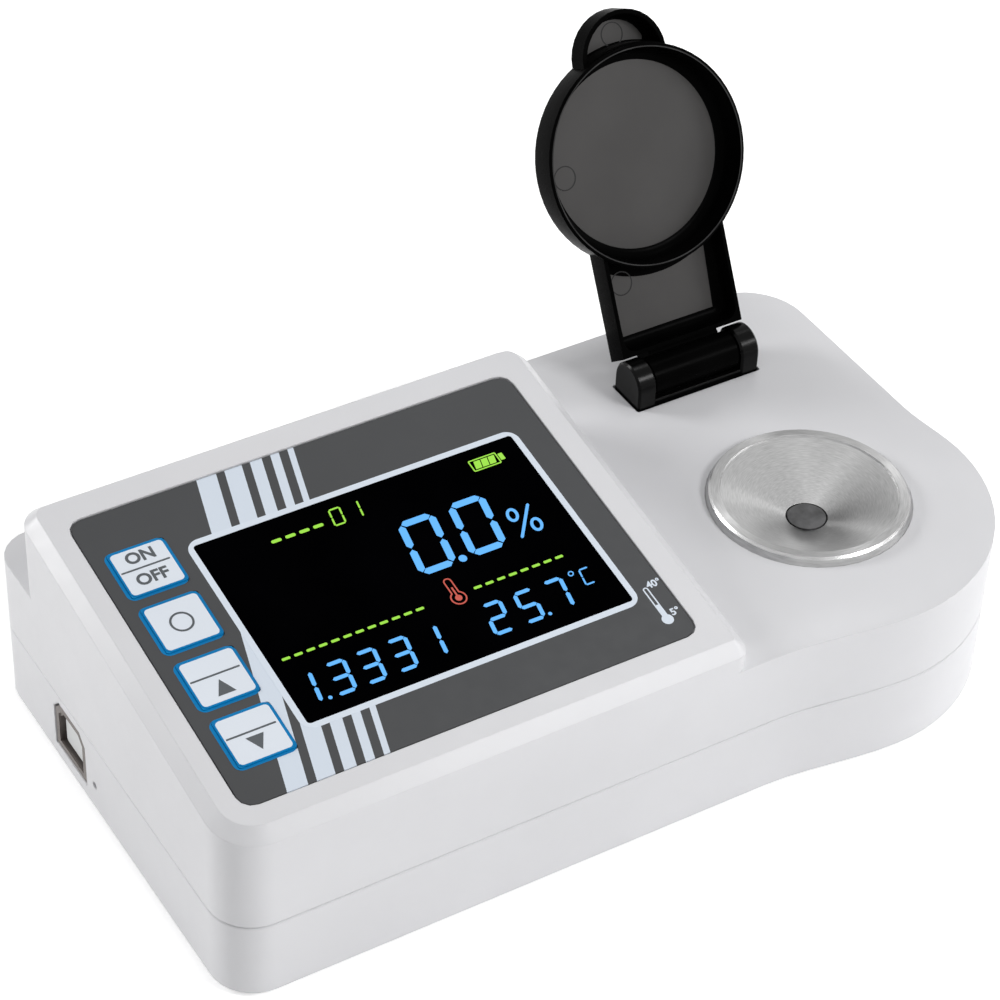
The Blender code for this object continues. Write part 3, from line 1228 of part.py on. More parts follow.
def lid_hollows():
    """Cutters for the cap's inside, the arm's underside, the tab's underside and the pin's bore."""
    ceiling = LID_RIM_Z + LID_CUP_DEPTH
    inner = LID_RADIUS - LID_RIM_WALL
    floor = inner - LID_CUP_DRAFT - LID_FLOOR_FILLET
    profile = [
        (inner + LID_EDGE, LID_RIM_Z - OVERRUN),
        (inner + LID_EDGE, LID_RIM_Z),
        (inner, LID_RIM_Z + LID_EDGE),
    ]
    profile += arc(floor, ceiling - LID_FLOOR_FILLET, LID_FLOOR_FILLET, 0, 90, FILLET_STEPS)
    cup = turned("cup_hollow", profile, FINE_STEPS, (0, -LID_REACH))
    half_width = ARM_WIDTH / 2 - ARM_RIB
    start = -LID_REACH + LID_RADIUS / 2
    plan = rounded_rectangle(-half_width, half_width, start, -ARM_END - ARM_RIB, [ARM_CORNER] * 4, FILLET_STEPS)
    floor_z = ARM_TOP_Z - ARM_SKIN
    rings = [at_height(plan, ARM_TOP_Z - ARM_THICK - OVERRUN)]
    for x, z in arc(ARM_FLOOR_FILLET, floor_z - ARM_FLOOR_FILLET, ARM_FLOOR_FILLET, 180, 90, FILLET_STEPS):
        rings.append(at_height(inset(plan, x), z))
    arm = outside_cup(loft("arm_hollow", rings))
    tab_y = -LID_REACH - LID_RADIUS - TAB_REACH + TAB_RADIUS
    tab_low = TAB_TOP_Z - TAB_THICK
    profile = [(TAB_RADIUS - TAB_RIM, tab_low - OVERRUN)]
    tab_floor = TAB_RADIUS - TAB_RIM - TAB_FLOOR_FILLET
    profile += arc(tab_floor, tab_low + TAB_HOLLOW - TAB_FLOOR_FILLET, TAB_FLOOR_FILLET, 0, 90, FILLET_STEPS)
    tab = outside_cup(turned("tab_hollow", profile, ROUND_STEPS, (0, tab_y)))
    half_barrel = HINGE_WIDTH / 2
    bore = side_profile("bore", circle(0, 0, PIN_RADIUS + GAP, SMALL_STEPS), -half_barrel, half_barrel)
    return cup, arm, tab, bore


def lid():
    """Lid: cap, arm, tongue, barrel and tab in one moulding, turned open about its hinge."""
    made = join(lid_cup(), lid_arm(), lid_tab(), lid_tongue(), lid_barrel())
    cut(made, *lid_hollows())
    made = finish(tidy(made), BLACK_PLASTIC)
    made.location = (DISH_X, HINGE_Y, HINGE_Z)
    made.rotation_euler = (-LID_OPEN_ANGLE, 0, 0)
    return made


def centre_on_table():
    """Move the whole so that its origin is on the table, under the middle of its box."""
    bpy.context.view_layer.update()
    solids = [item for item in bpy.context.scene.objects if item.type == "MESH"]
    points = [item.matrix_world @ vertex.co for item in solids for vertex in item.data.vertices]
    lows = [min(point[axis] for point in points) for axis in range(3)]
    highs = [max(point[axis] for point in points) for axis in range(3)]
    shift = Vector((-(lows[0] + highs[0]) / 2, -(lows[1] + highs[1]) / 2, -lows[2]))
    for item in bpy.context.scene.objects:
        if item.parent is None:
            item.location += shift
    bpy.context.view_layer.update()
    print("housing corner at", [round(value, 6) for value in shift])
    print("overall size", [round(high - low, 6) for low, high in zip(lows, highs)])
    for item in solids:
        if item.name.startswith("key_") or item.name == "lid":
            print(item.name, "origin", [round(value, 6) for value in item.matrix_world.translation])


def main():
    """Build every piece."""
    for item in list(bpy.data.objects):
        bpy.data.objects.remove(item)
    upper_housing()
    lower_housing()
    battery_door()
    battery_cells()
    battery_contacts()
    data_port()
    port_board()
    main_board()
    case_screws()
    rubber_feet()
    sample_dish()
    prism()
    prism_seal()
    optics_block()
    lamp()
    sensor_board()
    hinge_bracket()
    hinge_pin()
    hinge_screws()
    lid()
    frame = bpy.data.objects.new("panel_frame", None)
    bpy.context.scene.collection.objects.link(frame)
    frame.location = (0, 0, RAISED_FRONT_Z)
    frame.rotation_euler = (DECK_TILT, 0, 0)
    panel_foil(frame)
    screen_window(frame)
    display_module(frame)
    panel_board(frame)
    key_switches(frame)
    keys(frame)
    centre_on_table()


main()
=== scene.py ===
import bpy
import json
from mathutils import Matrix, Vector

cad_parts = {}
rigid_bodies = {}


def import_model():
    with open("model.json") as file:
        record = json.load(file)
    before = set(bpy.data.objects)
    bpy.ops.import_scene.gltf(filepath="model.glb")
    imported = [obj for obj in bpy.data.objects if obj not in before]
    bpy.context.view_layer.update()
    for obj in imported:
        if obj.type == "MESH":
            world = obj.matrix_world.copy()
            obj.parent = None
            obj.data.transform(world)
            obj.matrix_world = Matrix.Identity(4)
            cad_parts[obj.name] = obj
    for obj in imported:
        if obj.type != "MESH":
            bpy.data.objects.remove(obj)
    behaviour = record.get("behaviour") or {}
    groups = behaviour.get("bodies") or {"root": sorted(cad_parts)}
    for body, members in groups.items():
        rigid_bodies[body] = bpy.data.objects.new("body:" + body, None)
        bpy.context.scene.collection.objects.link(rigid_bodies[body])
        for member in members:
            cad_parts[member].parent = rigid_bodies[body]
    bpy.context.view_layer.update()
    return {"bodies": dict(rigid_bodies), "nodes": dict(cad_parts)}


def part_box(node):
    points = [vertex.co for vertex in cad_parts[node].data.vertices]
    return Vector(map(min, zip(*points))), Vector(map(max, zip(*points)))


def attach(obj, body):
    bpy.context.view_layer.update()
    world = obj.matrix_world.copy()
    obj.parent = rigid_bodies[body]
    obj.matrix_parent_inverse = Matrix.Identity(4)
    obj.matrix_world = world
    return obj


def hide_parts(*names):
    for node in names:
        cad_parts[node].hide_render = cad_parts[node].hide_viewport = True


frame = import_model()
print("nodes loaded:", len(frame["nodes"]))

# %% [markdown]
# The rest is standard: `bmesh` makes the meshes, `mathutils` moves them. The instrument's own
# coordinates start at the front left corner of its housing, under the floor of the tray, so that every
# number below can be read off the real thing with a calliper. `ORIGIN` is where that corner stands.
# %% Imports and the instrument's own corner
import json
import math

import bmesh
import bpy
from mathutils import Matrix, Vector

HEAD_OVERHANG = 0.0029
housing_low, housing_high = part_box("upper_housing")
tray_low, tray_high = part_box("lower_housing")
ORIGIN = Vector((housing_low.x, housing_low.y + HEAD_OVERHANG, tray_low.z))
print("corner of the housing:", [round(v, 5) for v in ORIGIN])

# %% [markdown]
# The control deck rises to the back at 9.09 degrees. Everything printed or let into it is drawn flat in
# the deck's own plane (x to the right, y up the slope, z off the surface) and laid onto it by `DECK`.
# %% The deck's plane
DECK_TILT = math.radians(9.09)
DECK_FRONT_Z = 0.0384
DECK = Matrix.Translation((0, 0, DECK_FRONT_Z)) @ Matrix.Rotation(DECK_TILT, 4, "X")
print("deck normal:", [round(v, 3) for v in DECK.to_3x3() @ Vector((0, 0, 1))])

# %% [markdown]
# Camera. The photograph looks down at about 40 degrees from the front left, with a long lens. The
# values below are the solved place and turn of that camera; a small shift puts the picture's middle
# where the photograph has it.
# %% Camera
EYE = Vector((-0.1612, -0.3335, 0.4254))
EYE_AZIMUTH = math.radians(32.22)
EYE_ELEVATION = math.radians(39.75)
EYE_ROLL = math.radians(2.33)


def camera_axes():
    """Right, up and forward directions of the camera."""
    forward = Vector((
        math.sin(EYE_AZIMUTH) * math.cos(EYE_ELEVATION),
        math.cos(EYE_AZIMUTH) * math.cos(EYE_ELEVATION),
        -math.sin(EYE_ELEVATION),
    ))
    level = Vector((math.cos(EYE_AZIMUTH), -math.sin(EYE_AZIMUTH), 0))
    raised = level.cross(forward)
    right = math.cos(EYE_ROLL) * level + math.sin(EYE_ROLL) * raised
    up = math.cos(EYE_ROLL) * raised - math.sin(EYE_ROLL) * level
    return right, up, forward


right, up, forward = camera_axes()
camera_data = bpy.data.cameras.new("photo_camera")
camera_data.lens = 117.41
camera_data.sensor_width = 36.0
camera_data.shift_x = 0.002
camera_data.shift_y = -0.0198
camera_data.clip_start = 0.01
camera_data.clip_end = 50
camera = bpy.data.objects.new("photo_camera", camera_data)
bpy.context.scene.collection.objects.link(camera)
turn = Matrix((right, up, -forward)).transposed().to_4x4()
camera.matrix_world = Matrix.Translation(ORIGIN + EYE) @ turn
bpy.context.scene.camera = camera
print("camera at", [round(v, 4) for v in camera.location])

# %% [markdown]
# Light. A white object needs soft light from nearly everywhere, or its pale faces tear into black and
# white. The world gives the even part. Softboxes could stand anywhere, but a chamfer only lights up where
# it mirrors a lamp, so each one stands in the direction that one of the housing's edges mirrors.
# The camera and all mirrors see the world as plain white, as in a studio with a white sweep.
# %% World
WORLD_LEVEL = 0.38


def link(tree, source, output, target, name):
    """One wire of a node tree, by socket names."""
    tree.links.new(source.outputs[output], target.inputs[name])


def math_node(tree, operation, first, second=None):
    """Math node fed by sockets or plain numbers."""
    node = tree.nodes.new("ShaderNodeMath")
    node.operation = operation
    for index, value in enumerate((first, second)):
        if value is None:
            continue
        if isinstance(value, (int, float)):
            node.inputs[index].default_value = value
        else:
            tree.links.new(value, node.inputs[index])
    return node.outputs[0]


def seen_ray(tree):
    """1 for rays of the camera, of mirrors and of glass, 0 for light that falls on matt faces."""
    path = tree.nodes.new("ShaderNodeLightPath")
    mirrored = math_node(tree, "MAXIMUM", path.outputs["Is Glossy Ray"], path.outputs["Is Transmission Ray"])
    return math_node(tree, "MAXIMUM", path.outputs["Is Camera Ray"], mirrored)


world = bpy.data.worlds.new("studio")
bpy.context.scene.world = world
world.use_nodes = True
wt = world.node_tree
wt.nodes.clear()
world_out = wt.nodes.new("ShaderNodeOutputWorld")
lit = wt.nodes.new("ShaderNodeBackground")
lit.inputs["Strength"].default_value = WORLD_LEVEL
lit.inputs["Color"].default_value = (1, 1, 1, 1)
seen = wt.nodes.new("ShaderNodeBackground")
seen.inputs["Color"].default_value = (1, 1, 1, 1)
pick = wt.nodes.new("ShaderNodeMixShader")
wt.links.new(seen_ray(wt), pick.inputs[0])
wt.links.new(lit.outputs[0], pick.inputs[1])
wt.links.new(seen.outputs[0], pick.inputs[2])
link(wt, pick, "Shader", world_out, "Surface")
bpy.context.scene.view_settings.view_transform = "Standard"
print("world level", WORLD_LEVEL)


# %% Softboxes
def softbox(name, direction, distance, width, height, power, target=(0, 0, 0.03)):
    """One rectangular lamp, seen from the target in the given direction."""
    data = bpy.data.lights.new(name, "AREA")
    data.shape = "RECTANGLE"
    data.size = width
    data.size_y = height
    data.energy = power
    lamp = bpy.data.objects.new(name, data)
    bpy.context.scene.collection.objects.link(lamp)
    lamp.location = Vector(target) + Vector(direction).normalized() * distance
    lamp.rotation_euler = (Vector(target) - lamp.location).to_track_quat("-Z", "Y").to_euler()
    return lamp


softbox("front_softbox", (0.42, -0.66, 0.62), 1.5, 0.42, 0.34, 9.2)
softbox("back_left_softbox", (-0.64, 0.65, 0.41), 1.5, 0.46, 0.36, 9.6)
softbox("right_softbox", (0.80, -0.55, 0.24), 1.5, 0.6, 0.45, 4.5)
softbox("top_softbox", (0.41, 0.24, 0.87), 1.5, 0.25, 0.22, 1.2)

# %% [markdown]
# Materials are node trees. A small kit keeps them short: `noise_of` reads the piece's own object
# coordinates (in metres, so a scale of 2000 is a grain of half a millimetre), and `surface` mixes a
# colour, a gloss and a bump from such noises. Nothing real has one flat colour: each finish varies a
# little in tone and gloss, and has its grain.
# %% Material kit
def noise_of(tree, scale, detail=2.0, stretch=(1, 1, 1)):
    """Noise on object coordinates at a scale in cells a metre."""
    coordinates = tree.nodes.new("ShaderNodeTexCoord")
    mapping = tree.nodes.new("ShaderNodeMapping")
    mapping.inputs["Scale"].default_value = stretch
    noise = tree.nodes.new("ShaderNodeTexNoise")
    noise.inputs["Scale"].default_value = scale
    noise.inputs["Detail"].default_value = detail
    link(tree, coordinates, "Object", mapping, "Vector")
    link(tree, mapping, "Vector", noise, "Vector")
    return noise


def ramp_of(tree, source, output, low, high, first, second):
    """Two-stop ramp from a socket."""
    ramp = tree.nodes.new("ShaderNodeValToRGB")
    ramp.color_ramp.elements[0].position = low
    ramp.color_ramp.elements[1].position = high
    ramp.color_ramp.elements[0].color = (*first, 1)
    ramp.color_ramp.elements[1].color = (*second, 1)
    tree.links.new(source.outputs[output], ramp.inputs["Fac"])
    return ramp


def grey(value):
    """Three equal channels."""
    return (value, value, value)


def surface(name, colour, roughness, metallic=0.0, tone=0.04, tone_scale=60, gloss=0.05, gloss_scale=400,
            grain=0.0, grain_scale=2500, stretch=(1, 1, 1), specular=0.5, coat=0.0, round_edge=0.0):
    """Principled finish: colour and gloss wander a little, the grain is a bump in metres."""
    material = bpy.data.materials.new(name)
    material.use_nodes = True
    tree = material.node_tree
    new = tree.nodes.new
    shader = tree.nodes["Principled BSDF"]
    shader.inputs["Metallic"].default_value = metallic
    shader.inputs["Specular IOR Level"].default_value = specular
    shader.inputs["Coat Weight"].default_value = coat
    shader.inputs["Coat Roughness"].default_value = 0.12
    darker = [max(0.0, c * (1 - tone)) for c in colour]
    lighter = [min(1.0, c * (1 + tone)) for c in colour]
    wander = noise_of(tree, tone_scale, 3.0, stretch)
    tint = ramp_of(tree, wander, "Fac", 0.35, 0.65, darker, lighter)
    link(tree, tint, "Color", shader, "Base Color")
    sheen = noise_of(tree, gloss_scale, 2.0, stretch)
    shine = ramp_of(tree, sheen, "Fac", 0.3, 0.7, grey(max(0.02, roughness - gloss)), grey(roughness + gloss))
    link(tree, shine, "Color", shader, "Roughness")
    edge = None
    if round_edge > 0:
        edge = new("ShaderNodeBevel")
        edge.samples = 4
        edge.inputs["Radius"].default_value = round_edge
        link(tree, edge, "Normal", shader, "Normal")
    if grain > 0:
        rough = noise_of(tree, grain_scale, 3.0, stretch)
        bump = new("ShaderNodeBump")
        bump.inputs["Strength"].default_value = 1.0
        bump.inputs["Distance"].default_value = grain
        link(tree, rough, "Fac", bump, "Height")
        if edge is not None:
            link(tree, edge, "Normal", bump, "Normal")
        link(tree, bump, "Normal", shader, "Normal")
    return material


print("material kit ready")

# %% [markdown]
# Housing plastic is white ABS moulded against a finely spark-eroded tool: a matt skin whose grain is
# about a third of a millimetre and a few microns deep. Real mouldings have no knife edges, so a small
# edge rounding is part of the finish.
# %% Finishes of the instrument
WHITE = surface("white_moulded_plastic", (0.715, 0.715, 0.735), 0.33, tone=0.012, gloss=0.03,
                grain=0.000004, grain_scale=3200, round_edge=0.0003)
TRAY_WHITE = surface("white_tray_plastic", (0.715, 0.715, 0.735), 0.33, tone=0.012, gloss=0.03,
                     grain=0.000004, grain_scale=3200, round_edge=0.0007)
BLACK = surface("black_moulded_plastic", grey(0.0014), 0.26, tone=0.3, gloss=0.03,
                grain=0.000003, grain_scale=3500, specular=0.006, round_edge=0.0002)
HINGE_BLACK = surface("black_hinge_plastic", grey(0.0015), 0.22, tone=0.3, gloss=0.03,
                      grain=0.000003, grain_scale=3500, specular=0.09, round_edge=0.0002)
INNER_BLACK = surface("fine_eroded_black", (0.052, 0.050, 0.049), 0.45, tone=0.08, gloss=0.03,
                      grain=0.000006, grain_scale=4200, specular=0.2)
RING_BLACK = surface("ejector_mark_black", grey(0.012), 0.45, tone=0.2, grain=0.000002, specular=0.2)
# Painted highlight: the thin ring of lighter grey on the lid's rim stands in for the light that its edge
# catches, and its tone wanders at random along it.
RIM_HIGHLIGHT = surface("painted_rim_highlight", grey(0.030), 0.35, tone=0.3, tone_scale=200, grain=0.000003,
                    specular=0.1)
DARK_METAL = surface("nickel_plated_shell", (0.19, 0.17, 0.16), 0.48, metallic=1.0, tone=0.08, gloss=0.06,
                     grain=0.000002, stretch=(1, 8, 8))
INSULATOR = surface("port_insulator", (0.68, 0.69, 0.69), 0.42, tone=0.02, grain=0.000003)
STEEL = surface("plated_steel", (0.60, 0.61, 0.62), 0.26, metallic=1.0, tone=0.05, grain=0.000002)
ALUMINIUM = surface("milled_aluminium", (0.66, 0.67, 0.68), 0.38, metallic=1.0, tone=0.05,
                    grain=0.000003, stretch=(1, 12, 1))
BOARD = surface("green_solder_mask", (0.012, 0.10, 0.045), 0.32, tone=0.25, tone_scale=300, grain=0.000006,
                grain_scale=900, coat=0.3)
RUBBER = surface("black_rubber", (0.03, 0.03, 0.03), 0.75, tone=0.2, grain=0.00001, grain_scale=1800)
RESIN = surface("amber_lamp_resin", (0.75, 0.42, 0.08), 0.12, tone=0.1, grain=0.000002, coat=0.5)
SLEEVE = surface("cell_sleeve_film", (0.07, 0.085, 0.11), 0.30, tone=0.15, grain=0.000003, coat=0.4)
GLASS_BLACK = surface("screen_glass", (0.0006, 0.0006, 0.0009), 0.20, tone=0.3, gloss=0.02,
                      grain=0.0000004, specular=0.0)
PRISM_FINISH = surface("prism_glass", (0.060, 0.060, 0.062), 0.12, tone=0.6, tone_scale=260, gloss=0.03,
                       specular=0.5)
print("finishes:", len(bpy.data.materials))

# %% [markdown]
# The bowl is turned from stainless steel and brushed round and round by the lathe. Such grooves spread
# each reflection across them into a fan that runs from rim to prism. A plain metal shader would mirror
# the lamps as spots, and fans drawn into the colour would stay put when the lamps or the view move. An
# anisotropic shader makes them from the lamps themselves. The grooves are a bump that follows the
# distance from the axis, and the rim's chamfer is polished smoother than the cone.
# %% Turned steel of the sample bowl
DISH_X, DISH_Y = 0.1381, 0.0321
CONE_END, CHAMFER_START, CHAMFER_END = 0.01690, 0.01853, 0.01897
BRUSHING = 0.9


def turned_steel():
    """Brushed finish of the bowl, centred on its axis."""
    material = surface("turned_bowl_steel", grey(0.5), 0.30, metallic=1.0, tone=0.03, grain=0.000001)
    tree = material.node_tree
    new, wire = tree.nodes.new, tree.links.new
    shader = tree.nodes["Principled BSDF"]
    shader.inputs["Anisotropic"].default_value = BRUSHING
    coordinates = new("ShaderNodeTexCoord")
    centred = new("ShaderNodeMapping")
    centred.inputs["Location"].default_value = (-DISH_X - ORIGIN.x, -DISH_Y - ORIGIN.y, 0)
    link(tree, coordinates, "Object", centred, "Vector")
    round_share = new("ShaderNodeTexGradient")
    round_share.gradient_type = "RADIAL"
    link(tree, centred, "Vector", round_share, "Vector")
    flat = new("ShaderNodeVectorMath")
    flat.operation = "MULTIPLY"
    flat.inputs[1].default_value = (1, 1, 0)
    link(tree, centred, "Vector", flat, "Vector")
    radius = new("ShaderNodeVectorMath")
    radius.operation = "LENGTH"
    wire(flat.outputs[0], radius.inputs[0])
    far = radius.outputs["Value"]
    groove_place = new("ShaderNodeCombineXYZ")
    wire(math_node(tree, "MULTIPLY", far, 7000.0), groove_place.inputs["X"])
    wire(math_node(tree, "MULTIPLY", round_share.outputs["Fac"], 40.0), groove_place.inputs["Y"])
    grooves = new("ShaderNodeTexNoise")
    grooves.inputs["Scale"].default_value = 1.0
    link(tree, groove_place, "Vector", grooves, "Vector")
    bump = new("ShaderNodeBump")
    bump.inputs["Distance"].default_value = 0.000002
    link(tree, grooves, "Fac", bump, "Height")
    link(tree, bump, "Normal", shader, "Normal")
    streaks = ramp_of(tree, grooves, "Fac", 0.25, 0.75, grey(0.38), grey(0.54))
    link(tree, streaks, "Color", shader, "Base Color")
    on_land = math_node(tree, "GREATER_THAN", far, CONE_END)
    on_chamfer = math_node(tree, "GREATER_THAN", far, CHAMFER_START)
    on_wall = math_node(tree, "GREATER_THAN", far, CHAMFER_END)
    polished = math_node(tree, "SUBTRACT", on_chamfer, on_wall)
    matt = math_node(tree, "SUBTRACT", on_land, on_chamfer)
    rough = math_node(tree, "MULTIPLY", polished, -0.16)
    rough = math_node(tree, "ADD", rough, 0.32)
    rough = math_node(tree, "ADD", rough, math_node(tree, "MULTIPLY", matt, 0.14))
    wire(rough, shader.inputs["Roughness"])
    return material


TURNED_STEEL = turned_steel()
print("turned steel nodes:", len(TURNED_STEEL.node_tree.nodes))

# %% [markdown]
# The panel foil is printed on its back: dark grey with a band of slanting pale stripes. The stripes are
# one rule, a distance measured across the slant, so they are drawn by a ramp with hard stops over that
# distance and not by a picture.
# %% Printed foil
STRIPE_START = 0.0126
STRIPE_SLANT = 0.2587
STRIPE_WIDTHS = (0.00396, 0.00171, 0.00342, 0.00171, 0.00234, 0.00176, 0.00180, 0.00171, 0.00122)
FOIL_DARK = (0.058, 0.060, 0.063)
FOIL_PALE = (0.70, 0.77, 0.86)


def printed_foil():
    """Foil finish with its slanting stripes."""
    material = surface("printed_foil", FOIL_DARK, 0.36, tone=0.03, gloss=0.03, grain=0.000003,
                       grain_scale=4000, specular=0.25)
    tree = material.node_tree
    new, wire = tree.nodes.new, tree.links.new
    shader = tree.nodes["Principled BSDF"]
    dark = shader.inputs["Base Color"].links[0].from_socket
    coordinates = new("ShaderNodeTexCoord")
    across = new("ShaderNodeVectorMath")
    across.operation = "DOT_PRODUCT"
    across.inputs[1].default_value = (1.0, -STRIPE_SLANT, 0.0)
    link(tree, coordinates, "Object", across, "Vector")
    span = sum(STRIPE_WIDTHS)
    start = STRIPE_START + ORIGIN.x - STRIPE_SLANT * ORIGIN.y
    to_share = new("ShaderNodeMapRange")
    to_share.inputs["From Min"].default_value = start - span * 0.1
    to_share.inputs["From Max"].default_value = start + span * 1.1
    link(tree, across, "Value", to_share, "Value")
    ramp = new("ShaderNodeValToRGB")
    ramp.color_ramp.interpolation = "CONSTANT"
    stops = ramp.color_ramp.elements
    edge = 0.0
    stops[0].position = 0.0
    stops[0].color = (0, 0, 0, 1)
    stops[1].position = 0.1 / 1.2
    stops[1].color = (1, 1, 1, 1)
    for number, width in enumerate(STRIPE_WIDTHS):
        edge += width
        stop = stops.new((edge / span + 0.1) / 1.2)
        level = 1.0 if number % 2 else 0.0
        stop.color = (level, level, level, 1)
    link(tree, to_share, "Result", ramp, "Fac")
    mix = new("ShaderNodeMix")
    mix.data_type = "RGBA"
    wire(ramp.outputs["Color"], mix.inputs[0])
    wire(dark, mix.inputs[6])
    mix.inputs[7].default_value = (*FOIL_PALE, 1)
    wire(mix.outputs[2], shader.inputs["Base Color"])
    return material


FOIL = printed_foil()
print("stripes:", len(STRIPE_WIDTHS))

# %% [markdown]
# Inks and lit segments. The pale and blue inks are flat prints; the figures on the screen are lit from
# behind, so they carry a little light of their own.
# %% Inks and lit figures
PALE_INK = surface("pale_ink", (0.72, 0.79, 0.88), 0.38, tone=0.012, grain=0.000002)
BLUE_INK = surface("blue_ink", (0.0, 0.205, 0.49), 0.42, tone=0.05, grain=0.000002, specular=0.15)
KEY_FACE = surface("key_face_ink", (0.77, 0.82, 0.89), 0.40, tone=0.01, grain=0.000003, grain_scale=4000)
DARK_INK = surface("dark_ink", (0.07, 0.08, 0.09), 0.40, tone=0.05, grain=0.000002)


def lit_figure(name, colour):
    """Finish of a lit display figure."""
    material = surface(name, [c * 0.1 for c in colour], 0.4, tone=0.05)
    shader = material.node_tree.nodes["Principled BSDF"]
    shader.inputs["Emission Color"].default_value = (*colour, 1)
    shader.inputs["Emission Strength"].default_value = 1.0
    return material


LIT_BLUE = lit_figure("lit_blue", (0.09, 0.42, 0.93))
LIT_GREEN = lit_figure("lit_green", (0.29, 0.68, 0.03))
LIT_RED = lit_figure("lit_red", (0.50, 0.06, 0.035))
print("inks and figures ready")


# %% [markdown]
# A helper closes every piece in the same way: its mesh gets the finish in its one slot, its place is moved
# into the mesh, it is hung on the body it rides on, and the solids it stands for are hidden.
# %% Putting a piece on the instrument
def piece(name, mesh, body, finish, replaced=(), smooth_angle=30.0, placed=False):
    """Object for a finished mesh, given in the instrument's own coordinates unless it is placed."""
    if not placed:
        mesh.transform(Matrix.Translation(ORIGIN))
    mesh.name = name
    made = bpy.data.objects.new(name, mesh)
    bpy.context.scene.collection.objects.link(made)
    mesh.materials.clear()
    mesh.materials.append(finish)
    mesh.shade_smooth()
    mesh.set_sharp_from_angle(angle=math.radians(smooth_angle))
    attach(made, body)
    if replaced:
        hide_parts(*replaced)
    print(name, len(mesh.polygons), "faces")
    return made


def mesh_of(build, name, matrix=None):
    """Mesh from a bmesh, closed and with its faces outwards."""
    bmesh.ops.recalc_face_normals(build, faces=build.faces)
    mesh = bpy.data.meshes.new(name)
    build.to_mesh(mesh)
    build.free()
    if matrix is not None:
        mesh.transform(matrix)
    return mesh


def add_prism(build, outline, bottom, top):
    """Upright prism over a flat outline, added to a bmesh."""
    low = [build.verts.new((x, y, bottom)) for x, y in outline]
    high = [build.verts.new((x, y, top)) for x, y in outline]
    build.faces.new(list(reversed(low)))
    build.faces.new(high)
    count = len(outline)
    for index in range(count):
        following = (index + 1) % count
        build.faces.new((low[index], low[following], high[following], high[index]))


print("piece helper ready")


# %% Outlines
def arc(centre_x, centre_y, radius, start, end, steps):
    """Points on an arc, ends included, angles in degrees."""
    points = []
    for step in range(steps + 1):
        angle = math.radians(start + (end - start) * step / steps)
        points.append((centre_x + radius * math.cos(angle), centre_y + radius * math.sin(angle)))
    return points


def rounded(left, right, front, back, radius, steps=8):
    """Rectangle with round corners."""
    return (
        arc(left + radius, front + radius, radius, 180, 270, steps)
        + arc(right - radius, front + radius, radius, 270, 360, steps)
        + arc(right - radius, back - radius, radius, 0, 90, steps)
        + arc(left + radius, back - radius, radius, 90, 180, steps)
    )


def add_frame(build, outer, inner, bottom, top):
    """Flat frame between two outlines of equal point counts, added to a bmesh."""
    rings = []
    for outline, height in ((outer, bottom), (outer, top), (inner, top), (inner, bottom)):
        rings.append([build.verts.new((x, y, height)) for x, y in outline])
    count = len(outer)
    for here, following in zip(rings, rings[1:] + rings[:1]):
        for index in range(count):
            after = (index + 1) % count
            build.faces.new((here[index], here[after], following[after], following[index]))


def on_deck(name, build, finish, body="base"):
    """Piece drawn in the deck's plane."""
    return piece(name, mesh_of(build, name, DECK), body, finish)


print("outline helpers ready")

# %% [markdown]
# Mouldings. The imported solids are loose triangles, and light would show every facet of a rounded wall.
# Each visible moulding is copied, its corners are welded and its level triangles are joined, so that the
# shading runs smoothly over fillets and stops at real edges. The copy stands for the solid.
# %% Smooth mouldings
body_of_node = {}
for body_name, empty in frame["bodies"].items():
    for node_name, made in frame["nodes"].items():
        if made.parent == empty:
            body_of_node[node_name] = body_name


def moulding(node, finish, smooth_angle=32.0):
    """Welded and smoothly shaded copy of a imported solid."""
    build = bmesh.new()
    build.from_mesh(frame["nodes"][node].data)
    bmesh.ops.remove_doubles(build, verts=build.verts, dist=0.000002)
    bmesh.ops.dissolve_limit(build, angle_limit=math.radians(0.8), verts=build.verts, edges=build.edges)
    mesh = mesh_of(build, node + "_moulding")
    if "custom_normal" in mesh.attributes:
        mesh.attributes.remove(mesh.attributes["custom_normal"])
    return piece(node + "_moulding", mesh, body_of_node[node], finish, (node,), smooth_angle, True)


moulding("upper_housing", WHITE)
moulding("lower_housing", TRAY_WHITE)
moulding("battery_door", WHITE)
moulding("hinge_bracket", HINGE_BLACK)
moulding("lid", BLACK)
moulding("data_port", DARK_METAL)

# %% [markdown]
# Turned pieces. The bowl, the feet, the screws and the round marks in the lid are all one idea: a profile
# turned round an upright axis, at one or more places. Spin could make one of them at a time. A Geometry
# Nodes tree makes them all: it rolls a grid into rings, reads each ring's radius and height from the
# profile's points, closes the seam, and sets the result on every place.
# %% Tree for turned pieces
def new_tree(name, inputs):
    """Empty Geometry Nodes tree with named inputs; gives the tree, its input and its output."""
    tree = bpy.data.node_groups.new(name, "GeometryNodeTree")
    for label, kind in inputs:
        tree.interface.new_socket(label, in_out="INPUT", socket_type=kind)
    tree.interface.new_socket("Pieces", in_out="OUTPUT", socket_type="NodeSocketGeometry")
    return tree, tree.nodes.new("NodeGroupInput"), tree.nodes.new("NodeGroupOutput")


def close_tree(tree, given, result, instances):
    """Real geometry and a finish at the end of a tree."""
    real = tree.nodes.new("GeometryNodeRealizeInstances")
    dressed = tree.nodes.new("GeometryNodeSetMaterial")
    tree.links.new(instances, real.inputs["Geometry"])
    tree.links.new(real.outputs["Geometry"], dressed.inputs["Geometry"])
    tree.links.new(given.outputs["Finish"], dressed.inputs["Material"])
    tree.links.new(dressed.outputs["Geometry"], result.inputs["Pieces"])


